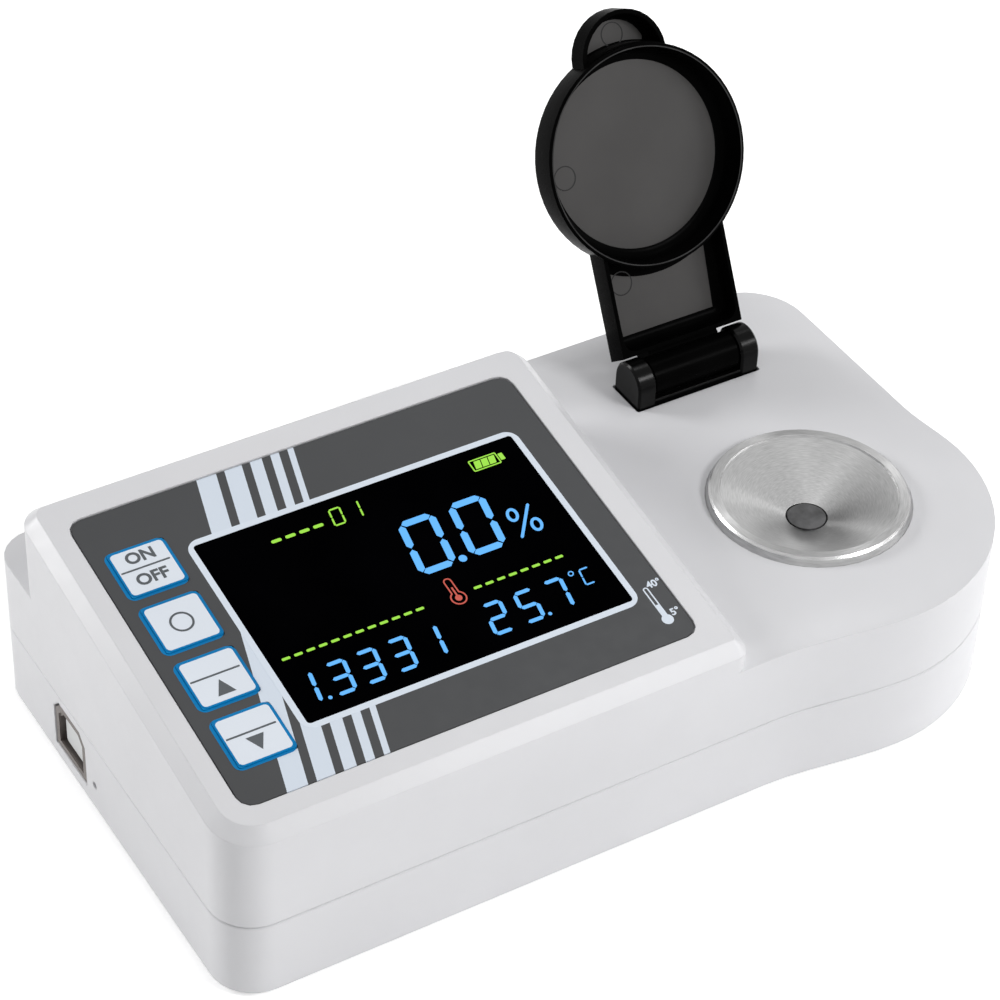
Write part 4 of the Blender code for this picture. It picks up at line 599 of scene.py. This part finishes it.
def turned_tree():
    """Profile points (radius in x, height in z) turned round z and set on places."""
    tree, given, result = new_tree("turned_at_places", (
        ("Profile", "NodeSocketGeometry"), ("Steps Round", "NodeSocketInt"),
        ("Places", "NodeSocketObject"), ("Finish", "NodeSocketMaterial"),
    ))
    new, wire = tree.nodes.new, tree.links.new
    count = new("GeometryNodeAttributeDomainSize")
    wire(given.outputs["Profile"], count.inputs[0])
    grid = new("GeometryNodeMeshGrid")
    columns = math_node(tree, "ADD", given.outputs["Steps Round"], 1)
    wire(columns, grid.inputs["Vertices X"])
    wire(count.outputs["Point Count"], grid.inputs["Vertices Y"])
    place = new("GeometryNodeInputPosition")
    parts = new("ShaderNodeSeparateXYZ")
    wire(place.outputs[0], parts.inputs[0])
    rows = math_node(tree, "SUBTRACT", count.outputs["Point Count"], 1)
    row = math_node(tree, "MULTIPLY", math_node(tree, "ADD", parts.outputs["Y"], 0.5), rows)
    row = math_node(tree, "ROUND", row)
    angle = math_node(tree, "MULTIPLY", math_node(tree, "ADD", parts.outputs["X"], 0.5), 2 * math.pi)
    point = new("GeometryNodeSampleIndex")
    point.data_type = "FLOAT_VECTOR"
    wire(given.outputs["Profile"], point.inputs["Geometry"])
    wire(place.outputs[0], point.inputs["Value"])
    wire(row, point.inputs["Index"])
    profile = new("ShaderNodeSeparateXYZ")
    wire(point.outputs[0], profile.inputs[0])
    rolled = new("ShaderNodeCombineXYZ")
    for axis, operation in (("X", "COSINE"), ("Y", "SINE")):
        reach = math_node(tree, "MULTIPLY", math_node(tree, operation, angle), profile.outputs["X"])
        wire(reach, rolled.inputs[axis])
    wire(profile.outputs["Z"], rolled.inputs["Z"])
    shaped = new("GeometryNodeSetPosition")
    wire(grid.outputs["Mesh"], shaped.inputs["Geometry"])
    wire(rolled.outputs[0], shaped.inputs["Position"])
    closed = new("GeometryNodeMergeByDistance")
    closed.inputs["Distance"].default_value = 0.000001
    wire(shaped.outputs["Geometry"], closed.inputs["Geometry"])
    spots = new("GeometryNodeObjectInfo")
    wire(given.outputs["Places"], spots.inputs["Object"])
    instances = new("GeometryNodeInstanceOnPoints")
    wire(spots.outputs["Geometry"], instances.inputs["Points"])
    wire(closed.outputs["Geometry"], instances.inputs["Instance"])
    close_tree(tree, given, result, instances.outputs["Instances"])
    return tree


TURNED = turned_tree()
print("nodes in the tree:", len(TURNED.nodes))


# %% Baking a tree to a plain mesh
def points_object(name, points):
    """Loose points as an object that a tree can read."""
    cloud = bpy.data.meshes.new(name)
    cloud.from_pydata([tuple(point) for point in points], [], [])
    holder = bpy.data.objects.new(name, cloud)
    bpy.context.scene.collection.objects.link(holder)
    return holder


def baked(tree, holder, values):
    """Plain mesh that a tree makes of a holder; the holder and its modifier are gone afterwards."""
    modifier = holder.modifiers.new("shaping", "NODES")
    modifier.node_group = tree
    for item in tree.interface.items_tree:
        if item.in_out == "INPUT" and item.name in values:
            modifier[item.identifier] = values[item.name]
    bpy.context.view_layer.update()
    ready = holder.evaluated_get(bpy.context.evaluated_depsgraph_get())
    plain = bpy.data.meshes.new_from_object(ready)
    holder.modifiers.clear()
    bpy.data.objects.remove(holder)
    build = bmesh.new()
    build.from_mesh(plain)
    bpy.data.meshes.remove(plain)
    return build


def turned(name, profile, places, steps, finish, matrix=None):
    """Turned profile at places, as a closed plain mesh."""
    holder = points_object(name + "_profile", [(radius, 0, height) for radius, height in profile])
    spots = points_object(name + "_places", places)
    values = {"Steps Round": steps, "Places": spots, "Finish": finish}
    build = baked(TURNED, holder, values)
    bpy.data.objects.remove(spots)
    return mesh_of(build, name, matrix)


print("baking helpers ready")

# %% [markdown]
# The sample bowl is the finest piece: a cone down to the prism, a flat land, a polished chamfer and a
# short outer wall. It is turned in 256 steps, with every corner broken by a tenth of a millimetre.
# %% Sample bowl
DECK_Z, RIM_Z, PRISM_Z = 0.0340, 0.0357, 0.0297
DECK_UNDERSIDE = DECK_Z - 0.0025


def sample_bowl():
    """Turned bowl with its flange under the deck."""
    flange = DECK_UNDERSIDE - 0.0003
    base = PRISM_Z - 0.0060 + 0.0010
    profile = [
        (0.00395, PRISM_Z - 0.0010), (0.00395, PRISM_Z - 0.00012), (0.00400, PRISM_Z - 0.00003),
        (0.00410, PRISM_Z + 0.00004), (0.01670, RIM_Z - 0.00044), (0.01680, RIM_Z - 0.00025),
        (0.01688, RIM_Z - 0.00004), (0.01700, RIM_Z), (0.01854, RIM_Z), (0.01895, RIM_Z - 0.0004),
        (0.01902, RIM_Z - 0.0006), (0.01944, DECK_Z), (0.01944, DECK_Z - 0.0008), (0.0192, DECK_Z - 0.0010),
        (0.0192, flange), (0.0220, flange), (0.0220, flange - 0.0033), (0.0150, flange - 0.0033),
        (0.0150, base), (0.0063, base), (0.0063, PRISM_Z - 0.0010), (0.00395, PRISM_Z - 0.0010),
    ]
    mesh = turned("bowl", profile, [(DISH_X, DISH_Y, 0)], 256, TURNED_STEEL)
    seat = [
        (0.0030, PRISM_Z - 0.0016), (0.00394, PRISM_Z - 0.0016), (0.00394, PRISM_Z - 0.0004),
        (0.00372, PRISM_Z - 0.0005), (0.0030, PRISM_Z - 0.0009), (0.0030, PRISM_Z - 0.0016),
    ]
    ring = turned("seat", seat, [(DISH_X, DISH_Y, 0)], 96, PRISM_FINISH)
    piece("prism_seat_ring", ring, "base", PRISM_FINISH)
    return piece("sample_bowl", mesh, "base", TURNED_STEEL, ("sample_dish",), 18.0)


sample_bowl()

# %% [markdown]
# Feet and case screws. The instrument stands on four rubber feet with a broken edge and a shallow suction
# hollow. The screws sit deep in their wells, with domed heads.
# %% Feet and case screws
FOOT_PLACES = [(0.0198, 0.0100, 0), (0.0198, 0.0850, 0), (0.1206, 0.0100, 0), (0.1482, 0.0850, 0)]
SCREW_PLACES = [(0.009, 0.009, 0.008), (0.009, 0.086, 0.008), (0.1080, 0.009, 0.008), (0.1590, 0.0825, 0.008)]


def feet():
    """Four rubber feet."""
    profile = [
        (0, -0.0006), (0.0022, -0.00066), (0.0030, -0.0008), (0.0034, -0.0009), (0.0043, -0.0009),
        (0.0046, -0.00082), (0.0047, -0.0006), (0.0047, 0.0004), (0.0046, 0.0005), (0, 0.0005),
    ]
    mesh = turned("feet", profile, FOOT_PLACES, 48, RUBBER)
    return piece("rubber_feet", mesh, "base", RUBBER, ("foot_1", "foot_2", "foot_3", "foot_4"))


def case_screws():
    """Four screws with a round socket in each head."""
    profile = [
        (0, 0.0011), (0.0009, 0.0011), (0.0011, 0.0009), (0.0011, 0.0001), (0.0013, 0), (0.0020, 0),
        (0.0024, 0.0003), (0.0025, 0.0008), (0.0025, 0.0018), (0.0012, 0.0018), (0.0012, 0.0196),
        (0.0006, 0.0200), (0, 0.0200),
    ]
    mesh = turned("screws", profile, SCREW_PLACES, 32, STEEL)
    nodes = ("case_screw_1", "case_screw_2", "case_screw_3", "case_screw_4")
    return piece("case_screws", mesh, "base", STEEL, nodes)


feet()
case_screws()

# %% [markdown]
# Inside of the lid. The mould's floors were eroded to a fine matt skin, so they look dark grey beside the
# glossy black walls, and each carries the thin ring that an ejector pin leaves. They are thin skins laid
# on the floors, drawn in the closed lid's coordinates and opened with it by `OPEN_LID`.
# %% Inner faces of the lid
LID_AXIS = (0.1381, 0.07391, 0.0376)
LID_REACH = 0.0418
OPEN_LID = Matrix.Translation(LID_AXIS) @ Matrix.Rotation(math.radians(-117), 4, "X")
SKIN = 0.00003


def cup_floor():
    """Round floor over the bowl."""
    low, high = 0.0046 - SKIN, 0.0046 + SKIN
    profile = [(0, low), (0.0178, low), (0.0182, low + SKIN / 2), (0.0182, high), (0, high)]
    return turned("cup", profile, [(0, -LID_REACH, 0)], 96, INNER_BLACK, OPEN_LID)


def bowed(first_x, last_x, centre_y, radius, sign, steps=24):
    """Points on an arc about the lid's middle line, from one x to another."""
    points = []
    for step in range(steps + 1):
        x = first_x + (last_x - first_x) * step / steps
        points.append((x, centre_y + sign * math.sqrt(radius * radius - x * x)))
    return points


def arm_floor():
    """Floor between cup and hinge."""
    outline = [(-0.0104, -0.0080), (0.0104, -0.0080)] + bowed(0.0110, -0.0110, -LID_REACH, 0.0236, 1)
    build = bmesh.new()
    add_prism(build, outline, 0.0044 - SKIN, 0.0044 + SKIN)
    return mesh_of(build, "arm_floor", OPEN_LID)


def tab_floor():
    """Floor of the finger tab."""
    outline = arc(0, -0.0611, 0.0072, 202, 338, 32) + bowed(0.0064, -0.0064, -LID_REACH, 0.0220, -1)
    build = bmesh.new()
    add_prism(build, outline, 0.0045 - SKIN, 0.0045 + SKIN)
    return mesh_of(build, "tab_floor", OPEN_LID)


piece("lid_cup_floor", cup_floor(), "lid", INNER_BLACK)
piece("lid_arm_floor", arm_floor(), "lid", INNER_BLACK)
piece("lid_tab_floor", tab_floor(), "lid", INNER_BLACK)
# A thin ring of lighter grey on the cup's rim: a painted highlight along the edge.
rim = [(0.02082, -0.00084), (0.02104, -0.00084), (0.02104, -0.0007), (0.02082, -0.0007), (0.02082, -0.00084)]
rim_highlight_line = turned("rim", rim, [(0, -LID_REACH, 0)], 128, RIM_HIGHLIGHT, OPEN_LID)
piece("lid_rim_line", rim_highlight_line, "lid", RIM_HIGHLIGHT)
marks = [(-0.01585, -0.04137, 0.00457), (0.0002, -0.0654, 0.00447), (-0.0085, -0.0183, 0.00437)]
ring = [(0.00218, -0.00004), (0.00242, -0.00004), (0.00242, 0.00002), (0.00218, 0.00002), (0.00218, -0.00004)]
pin_rings = turned("marks", ring, marks, 40, RING_BLACK, OPEN_LID)
piece("ejector_marks", pin_rings, "lid", RING_BLACK)

# %% [markdown]
# Data port. The plated shell holds a pale insulator block, a little back from the mouth, with the four
# contact slots along its upper side. The slots repeat, and so do several marks on the screen, so a second
# tree sets a given small solid along a row.
# %% Tree for rows
def row_tree():
    """A solid repeated along a straight row."""
    tree, given, result = new_tree("row_of_pieces", (
        ("Solid", "NodeSocketGeometry"), ("Count", "NodeSocketInt"), ("Step", "NodeSocketVector"),
        ("Finish", "NodeSocketMaterial"),
    ))
    new, wire = tree.nodes.new, tree.links.new
    line = new("GeometryNodeMeshLine")
    wire(given.outputs["Count"], line.inputs["Count"])
    wire(given.outputs["Step"], line.inputs["Offset"])
    instances = new("GeometryNodeInstanceOnPoints")
    wire(line.outputs["Mesh"], instances.inputs["Points"])
    wire(given.outputs["Solid"], instances.inputs["Instance"])
    close_tree(tree, given, result, instances.outputs["Instances"])
    return tree


ROW = row_tree()


def add_row(build, outline, bottom, top, count, step, finish):
    """Row of equal prisms, added to a bmesh."""
    solid = bmesh.new()
    add_prism(solid, outline, bottom, top)
    holder = bpy.data.objects.new("row", mesh_of(solid, "row"))
    bpy.context.scene.collection.objects.link(holder)
    row = baked(ROW, holder, {"Count": count, "Step": step, "Finish": finish})
    mesh = bpy.data.meshes.new("row_baked")
    row.to_mesh(mesh)
    row.free()
    build.from_mesh(mesh)
    bpy.data.meshes.remove(mesh)


print("nodes in the row tree:", len(ROW.nodes))

# %% Port insulator
PORT_Y, PORT_Z = 0.06395, 0.00885
PORT_TURN = Matrix(((0, 0, 1, 0), (1, 0, 0, 0), (0, 1, 0, 0), (0, 0, 0, 1)))


def in_port(name, build, finish):
    """Piece drawn in y and z, with its depth along x."""
    return piece(name, mesh_of(build, name, PORT_TURN), "base", finish)


def port_insulator():
    """Block inside the port: outline in y and z, depth along x."""
    build = bmesh.new()
    outline = rounded(PORT_Y - 0.0040, PORT_Y + 0.0035, PORT_Z - 0.0031, PORT_Z + 0.0024, 0.0006, 4)
    add_prism(build, outline, 0.0009, 0.0090)
    return in_port("port_insulator", build, INSULATOR)


def port_contacts():
    """Four contacts on the block."""
    build = bmesh.new()
    slot = rounded(PORT_Y - 0.0027, PORT_Y - 0.0021, PORT_Z + 0.0022, PORT_Z + 0.0026, 0.0001, 2)
    add_row(build, slot, 0.0011, 0.0060, 4, (0.0015, 0, 0), STEEL)
    return in_port("port_contacts", build, STEEL)


def port_face():
    """Front ring of the plated shell."""
    build = bmesh.new()
    rings = []
    for inset in (0.0, 0.0013):
        left, right = PORT_Y - 0.00625 + inset, PORT_Y + 0.00625 - inset
        low, high = PORT_Z - 0.00545 + inset, PORT_Z + 0.00545 - inset
        corner = 0.0022 - inset * 0.5
        rings.append([(left, low), (right, low), (right, high - corner), (right - corner, high),
                      (left + corner, high), (left, high - corner)])
    add_frame(build, rings[0], rings[1], 0.00015, 0.0006)
    return in_port("port_face", build, DARK_METAL)


port_insulator()
port_contacts()
port_face()

# %% [markdown]
# Screen and keys share the deck's print. The screen has a pale border with generous corners; the pane
# itself is let in flush. Print is given a real thickness of a few hundredths of a millimetre.
# %% Screen border
FOIL_TOP = -0.0002
INK = 0.00003
SCREEN = (0.0243, 0.0893, 0.0178, 0.0612)
BORDER = 0.0013
BORDER_RADIUS = 0.0026


def screen_border():
    """Pale frame printed round the screen."""
    left, right, front, back = SCREEN
    build = bmesh.new()
    outer = rounded(left - BORDER, right + BORDER, front - BORDER, back + BORDER, BORDER_RADIUS, 10)
    inner = rounded(left - 0.0001, right + 0.0001, front - 0.0001, back + 0.0001, 0.0007, 10)
    add_frame(build, outer, inner, FOIL_TOP, FOIL_TOP + INK)
    return on_deck("screen_border", build, PALE_INK)


screen_border()

# %% [markdown]
# Figures. A seven-segment digit is seven bars with pointed ends in a leaning box. `SEGMENTS` says where
# each bar runs in a box of one by two, `LIT` says which bars each figure lights, and the same drawing
# serves all three sizes on the screen.
# %% Seven-segment figures
LEAN = 0.150
SEGMENTS = {
    "a": ((0, 2), (1, 2)), "b": ((1, 2), (1, 1)), "c": ((1, 1), (1, 0)), "d": ((0, 0), (1, 0)),
    "e": ((0, 1), (0, 0)), "f": ((0, 2), (0, 1)), "g": ((0, 1), (1, 1)),
}
LIT = {
    "0": "abcdef", "1": "bc", "2": "abged", "3": "abgcd", "5": "afgcd", "7": "abc", "C": "adef",
}
FIGURE_LOW = FOIL_TOP + 0.00001
FIGURE_HIGH = FOIL_TOP + 0.00005


def add_bar(build, start, end, thickness, leave):
    """Bar with pointed ends from start to end, short of both by a small gap."""
    along = (Vector(end) - Vector(start)).normalized()
    side = Vector((-along.y, along.x)) * thickness / 2
    tip_start = Vector(start) + along * leave
    tip_end = Vector(end) - along * leave
    shoulder = along * thickness / 2
    outline = [
        tip_start, tip_start + shoulder - side, tip_end - shoulder - side,
        tip_end, tip_end - shoulder + side, tip_start + shoulder + side,
    ]
    add_prism(build, [(p.x, p.y) for p in outline], FIGURE_LOW, FIGURE_HIGH)


def add_digit(build, figure, left, low, width, height, thickness):
    """One figure whose bars run on a leaning box of the given width and height."""
    for name in LIT[figure]:
        ends = []
        for share_x, share_y in SEGMENTS[name]:
            rise = height * share_y / 2
            ends.append((left + width * share_x + LEAN * rise, low + rise))
        add_bar(build, ends[0], ends[1], thickness, thickness * 0.12)


def add_dot(build, x, y, radius, steps=20):
    """Round dot."""
    add_prism(build, arc(x, y, radius, 0, 360, steps)[:-1], FIGURE_LOW, FIGURE_HIGH)


def oval(x, y, reach_x, reach_y, steps=32):
    """Points on an ellipse that leans like the figures."""
    points = []
    for along, up in arc(0, 0, 1, 0, 360, steps)[:-1]:
        points.append((x + reach_x * along + LEAN * reach_y * up, y + reach_y * up))
    return points


print("figures known:", len(LIT))

# %% Readout
BIG = (0.0062, 0.0114, 0.00138)
SMALL = (0.0033, 0.0065, 0.00076)
TINY = (0.0021, 0.0037, 0.00034)


def big_readout():
    """Main reading with its percent sign."""
    build = bmesh.new()
    add_digit(build, "0", 0.0584, 0.0389, *BIG)
    add_digit(build, "0", 0.0688, 0.0390, *BIG)
    add_dot(build, 0.0665, 0.0389, 0.00078)
    for x, y in ((0.0798, 0.0441), (0.08275, 0.0404)):
        outer = oval(x, y, 0.0012, 0.0016)
        inner = oval(x, y, 0.0006, 0.0010)
        add_frame(build, outer, inner, FIGURE_LOW, FIGURE_HIGH)
    add_bar(build, (0.0786, 0.0386), (0.0838, 0.0454), 0.00058, 0)
    return on_deck("reading_figures", build, LIT_BLUE)


def small_readouts():
    """Index reading and temperature reading."""
    build = bmesh.new()
    for figure, left in zip("13331", (0.0253, 0.0319, 0.0378, 0.0440, 0.0499)):
        add_digit(build, figure, left, 0.0211, *SMALL)
    add_dot(build, 0.0303, 0.0212, 0.00038)
    for figure, left in zip("257", (0.0632, 0.0696, 0.0757)):
        add_digit(build, figure, left, 0.0212, *SMALL)
    add_dot(build, 0.0742, 0.0213, 0.00036)
    add_frame(build, oval(0.0823, 0.0277, 0.00058, 0.00058), oval(0.0823, 0.0277, 0.00036, 0.00036),
              FIGURE_LOW, FIGURE_HIGH)
    add_digit(build, "C", 0.0835, 0.0243, 0.0018, 0.0035, 0.00032)
    return on_deck("small_figures", build, LIT_BLUE)


big_readout()
small_readouts()

# %% [markdown]
# Green marks: the memory number at the top left, the battery sign, and plain rows of dashes over the
# two lower readings. A red outline of a thermometer stands between them.
# %% Marks on the screen
def green_marks():
    """Number, battery sign and dashed rules."""
    build = bmesh.new()
    for figure, left in zip("01", (0.0495, 0.0531)):
        add_digit(build, figure, left, 0.0551, *TINY)
    add_row(build, rounded(0.0373, 0.0393, 0.0560, 0.0567, 0.0003, 3), FIGURE_LOW, FIGURE_HIGH, 4,
            (0.0028, 0, 0), LIT_GREEN)
    for first, last, y in ((0.0266, 0.0555, 0.0316), (0.0648, 0.0852, 0.0317)):
        dash = rounded(first, first + 0.0016, y, y + 0.00055, 0.0002, 3)
        add_row(build, dash, FIGURE_LOW, FIGURE_HIGH, int((last - first) / 0.0024), (0.0024, 0, 0), LIT_GREEN)
    outer = rounded(0.0788, 0.0846, 0.0560, 0.0588, 0.0003, 4)
    inner = rounded(0.07905, 0.08435, 0.05625, 0.05855, 0.0001, 4)
    add_frame(build, outer, inner, FIGURE_LOW, FIGURE_HIGH)
    add_prism(build, rounded(0.0848, 0.0857, 0.0566, 0.0582, 0.0001, 2), FIGURE_LOW, FIGURE_HIGH)
    slab = [(0.0794, 0.0565), (0.0807, 0.0565), (0.0811, 0.0583), (0.0798, 0.0583)]
    add_row(build, slab, FIGURE_LOW, FIGURE_HIGH, 3, (0.00150, 0, 0), LIT_GREEN)
    return on_deck("green_marks", build, LIT_GREEN)


def thermometer_outline(x, y, bulb, stem, height, steps=18):
    """Outline of a thermometer: round bulb below, straight stem with a round top."""
    opening = math.degrees(math.asin(stem / bulb))
    points = arc(x, y, bulb, 90 + opening, 450 - opening, steps)
    points += arc(x, y + height, stem, 0, 180, 8)
    return points


def red_mark():
    """Thermometer sign."""
    build = bmesh.new()
    x, y, rise = 0.0613, 0.03125, 0.0040
    outer = thermometer_outline(x, y, 0.00155, 0.00082, rise)
    inner = thermometer_outline(x, y, 0.00128, 0.00056, rise)
    add_frame(build, outer, inner, FIGURE_LOW, FIGURE_HIGH)
    add_dot(build, x, y, 0.00066)
    add_prism(build, rounded(x - 0.00016, x + 0.00016, y, y + 0.0026, 0.0001, 2), FIGURE_LOW, FIGURE_HIGH)
    return on_deck("thermometer_sign", build, LIT_RED)


green_marks()
red_mark()

# %% [markdown]
# The foil has a printed thermometer as well, in pale ink at its right edge: a hollow tube that is filled
# up to its lower half, with the plain numbers of the working range beside its ends.
# %% Printed thermometer
def add_word(build, word, x, y, size, low, high):
    """Plain sans-serif word as a thin solid, centred on x and y."""
    curve = bpy.data.curves.new("word", "FONT")
    curve.body = word
    curve.size = size
    curve.offset = size * 0.030
    curve.align_x = "CENTER"
    curve.align_y = "CENTER"
    curve.resolution_u = 4
    holder = bpy.data.objects.new("word", curve)
    bpy.context.scene.collection.objects.link(holder)
    bpy.context.view_layer.update()
    flat = bpy.data.meshes.new_from_object(holder.evaluated_get(bpy.context.evaluated_depsgraph_get()))
    bpy.data.objects.remove(holder)
    flat.transform(Matrix.Translation((x, y, low)))
    letters = bmesh.new()
    letters.from_mesh(flat)
    bmesh.ops.remove_doubles(letters, verts=letters.verts, dist=0.000001)
    grown = bmesh.ops.extrude_face_region(letters, geom=list(letters.faces))
    lifted = [item for item in grown["geom"] if isinstance(item, bmesh.types.BMVert)]
    bmesh.ops.translate(letters, verts=lifted, vec=(0, 0, high - low))
    solid = bpy.data.meshes.new("word_solid")
    letters.to_mesh(solid)
    letters.free()
    build.from_mesh(solid)


def printed_thermometer():
    """Pale thermometer with two plain numbers."""
    build = bmesh.new()
    x, bulb_y, tube_top = 0.0926, 0.0114, 0.0188
    low, high = FOIL_TOP, FOIL_TOP + INK
    outer = thermometer_outline(x, bulb_y, 0.00112, 0.00055, tube_top - bulb_y)
    inner = thermometer_outline(x, bulb_y, 0.00050, 0.00028, tube_top - bulb_y)
    add_frame(build, outer, inner, low, high)
    filled = rounded(x - 0.00030, x + 0.00030, bulb_y - 0.0004, bulb_y + 0.0036, 0.0001, 2)
    add_prism(build, filled, low, high + 0.000004)
    dot = arc(x, bulb_y, 0.0006, 0, 360, 24)[:-1]
    add_prism(build, dot, low, high + 0.000006)
    add_word(build, "40°", x + 0.0021, tube_top + 0.0007, 0.0021, low, high)
    add_word(build, "5°", x + 0.0022, bulb_y + 0.0010, 0.0021, low, high)
    return on_deck("printed_thermometer", build, PALE_INK)


printed_thermometer()

# %% [markdown]
# Keys. Each is a flat dome under the foil with a blue line round a pale face. The face carries a thin
# rule with its sign above or below: ON and OFF on the key at the back, a plain ring on the second, and
# arrows up and down on the other two. A key's pieces ride on its own body and sink with it.
# %% Keys
KEY_LEFT, KEY_WIDTH, KEY_LENGTH = 0.0094, 0.0108, 0.01061
KEY_FRONT, KEY_PITCH = 0.0142, 0.01351
KEY_BORDER = 0.00035
KEY_TOP = 0.00012
KEY_CLEAR = 0.00003
SKIRT_INSET = 0.0003 - 0.00026


def key_front(number):
    """Front edge of a key, counted from the back."""
    return KEY_FRONT + KEY_PITCH * (3 - number)


def key_signs(number, build):
    """Rule and sign on one key face."""
    left, front = KEY_LEFT, key_front(number)
    middle = left + KEY_WIDTH / 2
    low, high = KEY_TOP, KEY_TOP + INK
    rule = front + KEY_LENGTH * (0.52, 0.5, 0.55, 0.56)[number]
    if number != 1:
        line = rounded(left + 0.0006, left + KEY_WIDTH - 0.0008, rule, rule + 0.00036, 0.0001, 2)
        add_prism(build, line, low, high)
    if number == 0:
        add_word(build, "ON", middle, rule + 0.0026, 0.0035, low, high)
        add_word(build, "OFF", middle, rule - 0.0025, 0.0035, low, high)
    if number == 1:
        outer = arc(middle, front + KEY_LENGTH / 2, 0.0022, 0, 360, 40)[:-1]
        inner = arc(middle, front + KEY_LENGTH / 2, 0.0018, 0, 360, 40)[:-1]
        add_frame(build, outer, inner, low, high)
    if number == 2:
        foot = front + 0.0015
        arrow = [(middle - 0.0017, foot), (middle + 0.0017, foot), (middle, foot + 0.0033)]
        add_prism(build, arrow, low, high)
    if number == 3:
        tip = front + 0.0019
        back = tip + 0.0032
        add_prism(build, [(middle, tip), (middle + 0.0017, back), (middle - 0.0017, back)], low, high)


def key_surround(number):
    """Blue line printed on the foil round one key."""
    front = key_front(number)
    build = bmesh.new()
    reach = 0.00068
    outer = rounded(KEY_LEFT - reach, KEY_LEFT + KEY_WIDTH + reach * 0.5,
                    front - reach * 0.8, front + KEY_LENGTH + reach * 0.6, 0.0016, 8)
    inner = rounded(KEY_LEFT - KEY_CLEAR, KEY_LEFT + KEY_WIDTH + KEY_CLEAR,
                    front - KEY_CLEAR, front + KEY_LENGTH + KEY_CLEAR, 0.0004, 8)
    add_frame(build, outer, inner, FOIL_TOP, FOIL_TOP + INK)
    return on_deck(f"key_surround_{number + 1}", build, BLUE_INK)


def key(number):
    """Blue skirt, pale face and printed signs of one key."""
    front = key_front(number)
    body = f"key_{number + 1}"
    skirt = rounded(KEY_LEFT + SKIRT_INSET, KEY_LEFT + KEY_WIDTH - SKIRT_INSET,
                    front + SKIRT_INSET, front + KEY_LENGTH - SKIRT_INSET, 0.0013, 8)
    face = rounded(KEY_LEFT + KEY_BORDER, KEY_LEFT + KEY_WIDTH - KEY_BORDER,
                   front + KEY_BORDER, front + KEY_LENGTH - KEY_BORDER, 0.0008, 8)
    build = bmesh.new()
    add_prism(build, skirt, -0.00042, KEY_TOP - INK)
    on_deck(f"key_skirt_{number + 1}", build, BLUE_INK, body)
    build = bmesh.new()
    add_prism(build, face, KEY_TOP - INK, KEY_TOP)
    on_deck(f"key_face_{number + 1}", build, KEY_FACE, body)
    build = bmesh.new()
    key_signs(number, build)
    on_deck(f"key_sign_{number + 1}", build, DARK_INK, body)


for number in range(4):
    key_surround(number)
    key(number)

# %% [markdown]
# Floor. One wide white sweep. A studio table is lit until it reads as white: for the camera and for
# mirrors a little light of its own is added, which leaves the soft shadow under the instrument in place.
# %% Floor
FLOOR_LIFT = 0.42


def floor_finish():
    """White sweep that looks white and keeps its shadow."""
    material = surface("white_sweep", grey(0.95), 0.9, tone=0.005, specular=0.0)
    tree = material.node_tree
    shader = tree.nodes["Principled BSDF"]
    shader.inputs["Emission Color"].default_value = (1, 1, 1, 1)
    lift = math_node(tree, "MULTIPLY", seen_ray(tree), FLOOR_LIFT)
    tree.links.new(lift, shader.inputs["Emission Strength"])
    return material


def studio_floor():
    """Wide floor at table height."""
    build = bmesh.new()
    bmesh.ops.create_grid(build, x_segments=8, y_segments=8, size=6.0)
    mesh = bpy.data.meshes.new("studio_floor")
    build.to_mesh(mesh)
    build.free()
    made = bpy.data.objects.new("studio_floor", mesh)
    bpy.context.scene.collection.objects.link(made)
    mesh.materials.append(floor_finish())
    return made


studio_floor()

# %% [markdown]
# Nodes that stay as packed still need their finish. Each comes with a plain material named after its
# slot, so one table from slot to finish dresses them all.
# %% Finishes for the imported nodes
FINISH_OF_SLOT = {
    "white_plastic": WHITE, "black_plastic": BLACK, "panel_foil": FOIL, "key_foil": BLUE_INK,
    "screen_glass": GLASS_BLACK, "board_green": BOARD, "dark_metal": DARK_METAL, "polished_steel": STEEL,
    "aluminium": ALUMINIUM, "prism_glass": PRISM_FINISH, "rubber": RUBBER, "lamp_resin": RESIN,
    "cell_sleeve": SLEEVE,
}
for made in frame["nodes"].values():
    finish = FINISH_OF_SLOT[made.data.materials[0].name.split(".")[0]]
    made.data.materials.clear()
    made.data.materials.append(finish)
print("nodes dressed:", len(frame["nodes"]))

# %% [markdown]
# %% The end
print("scene built")
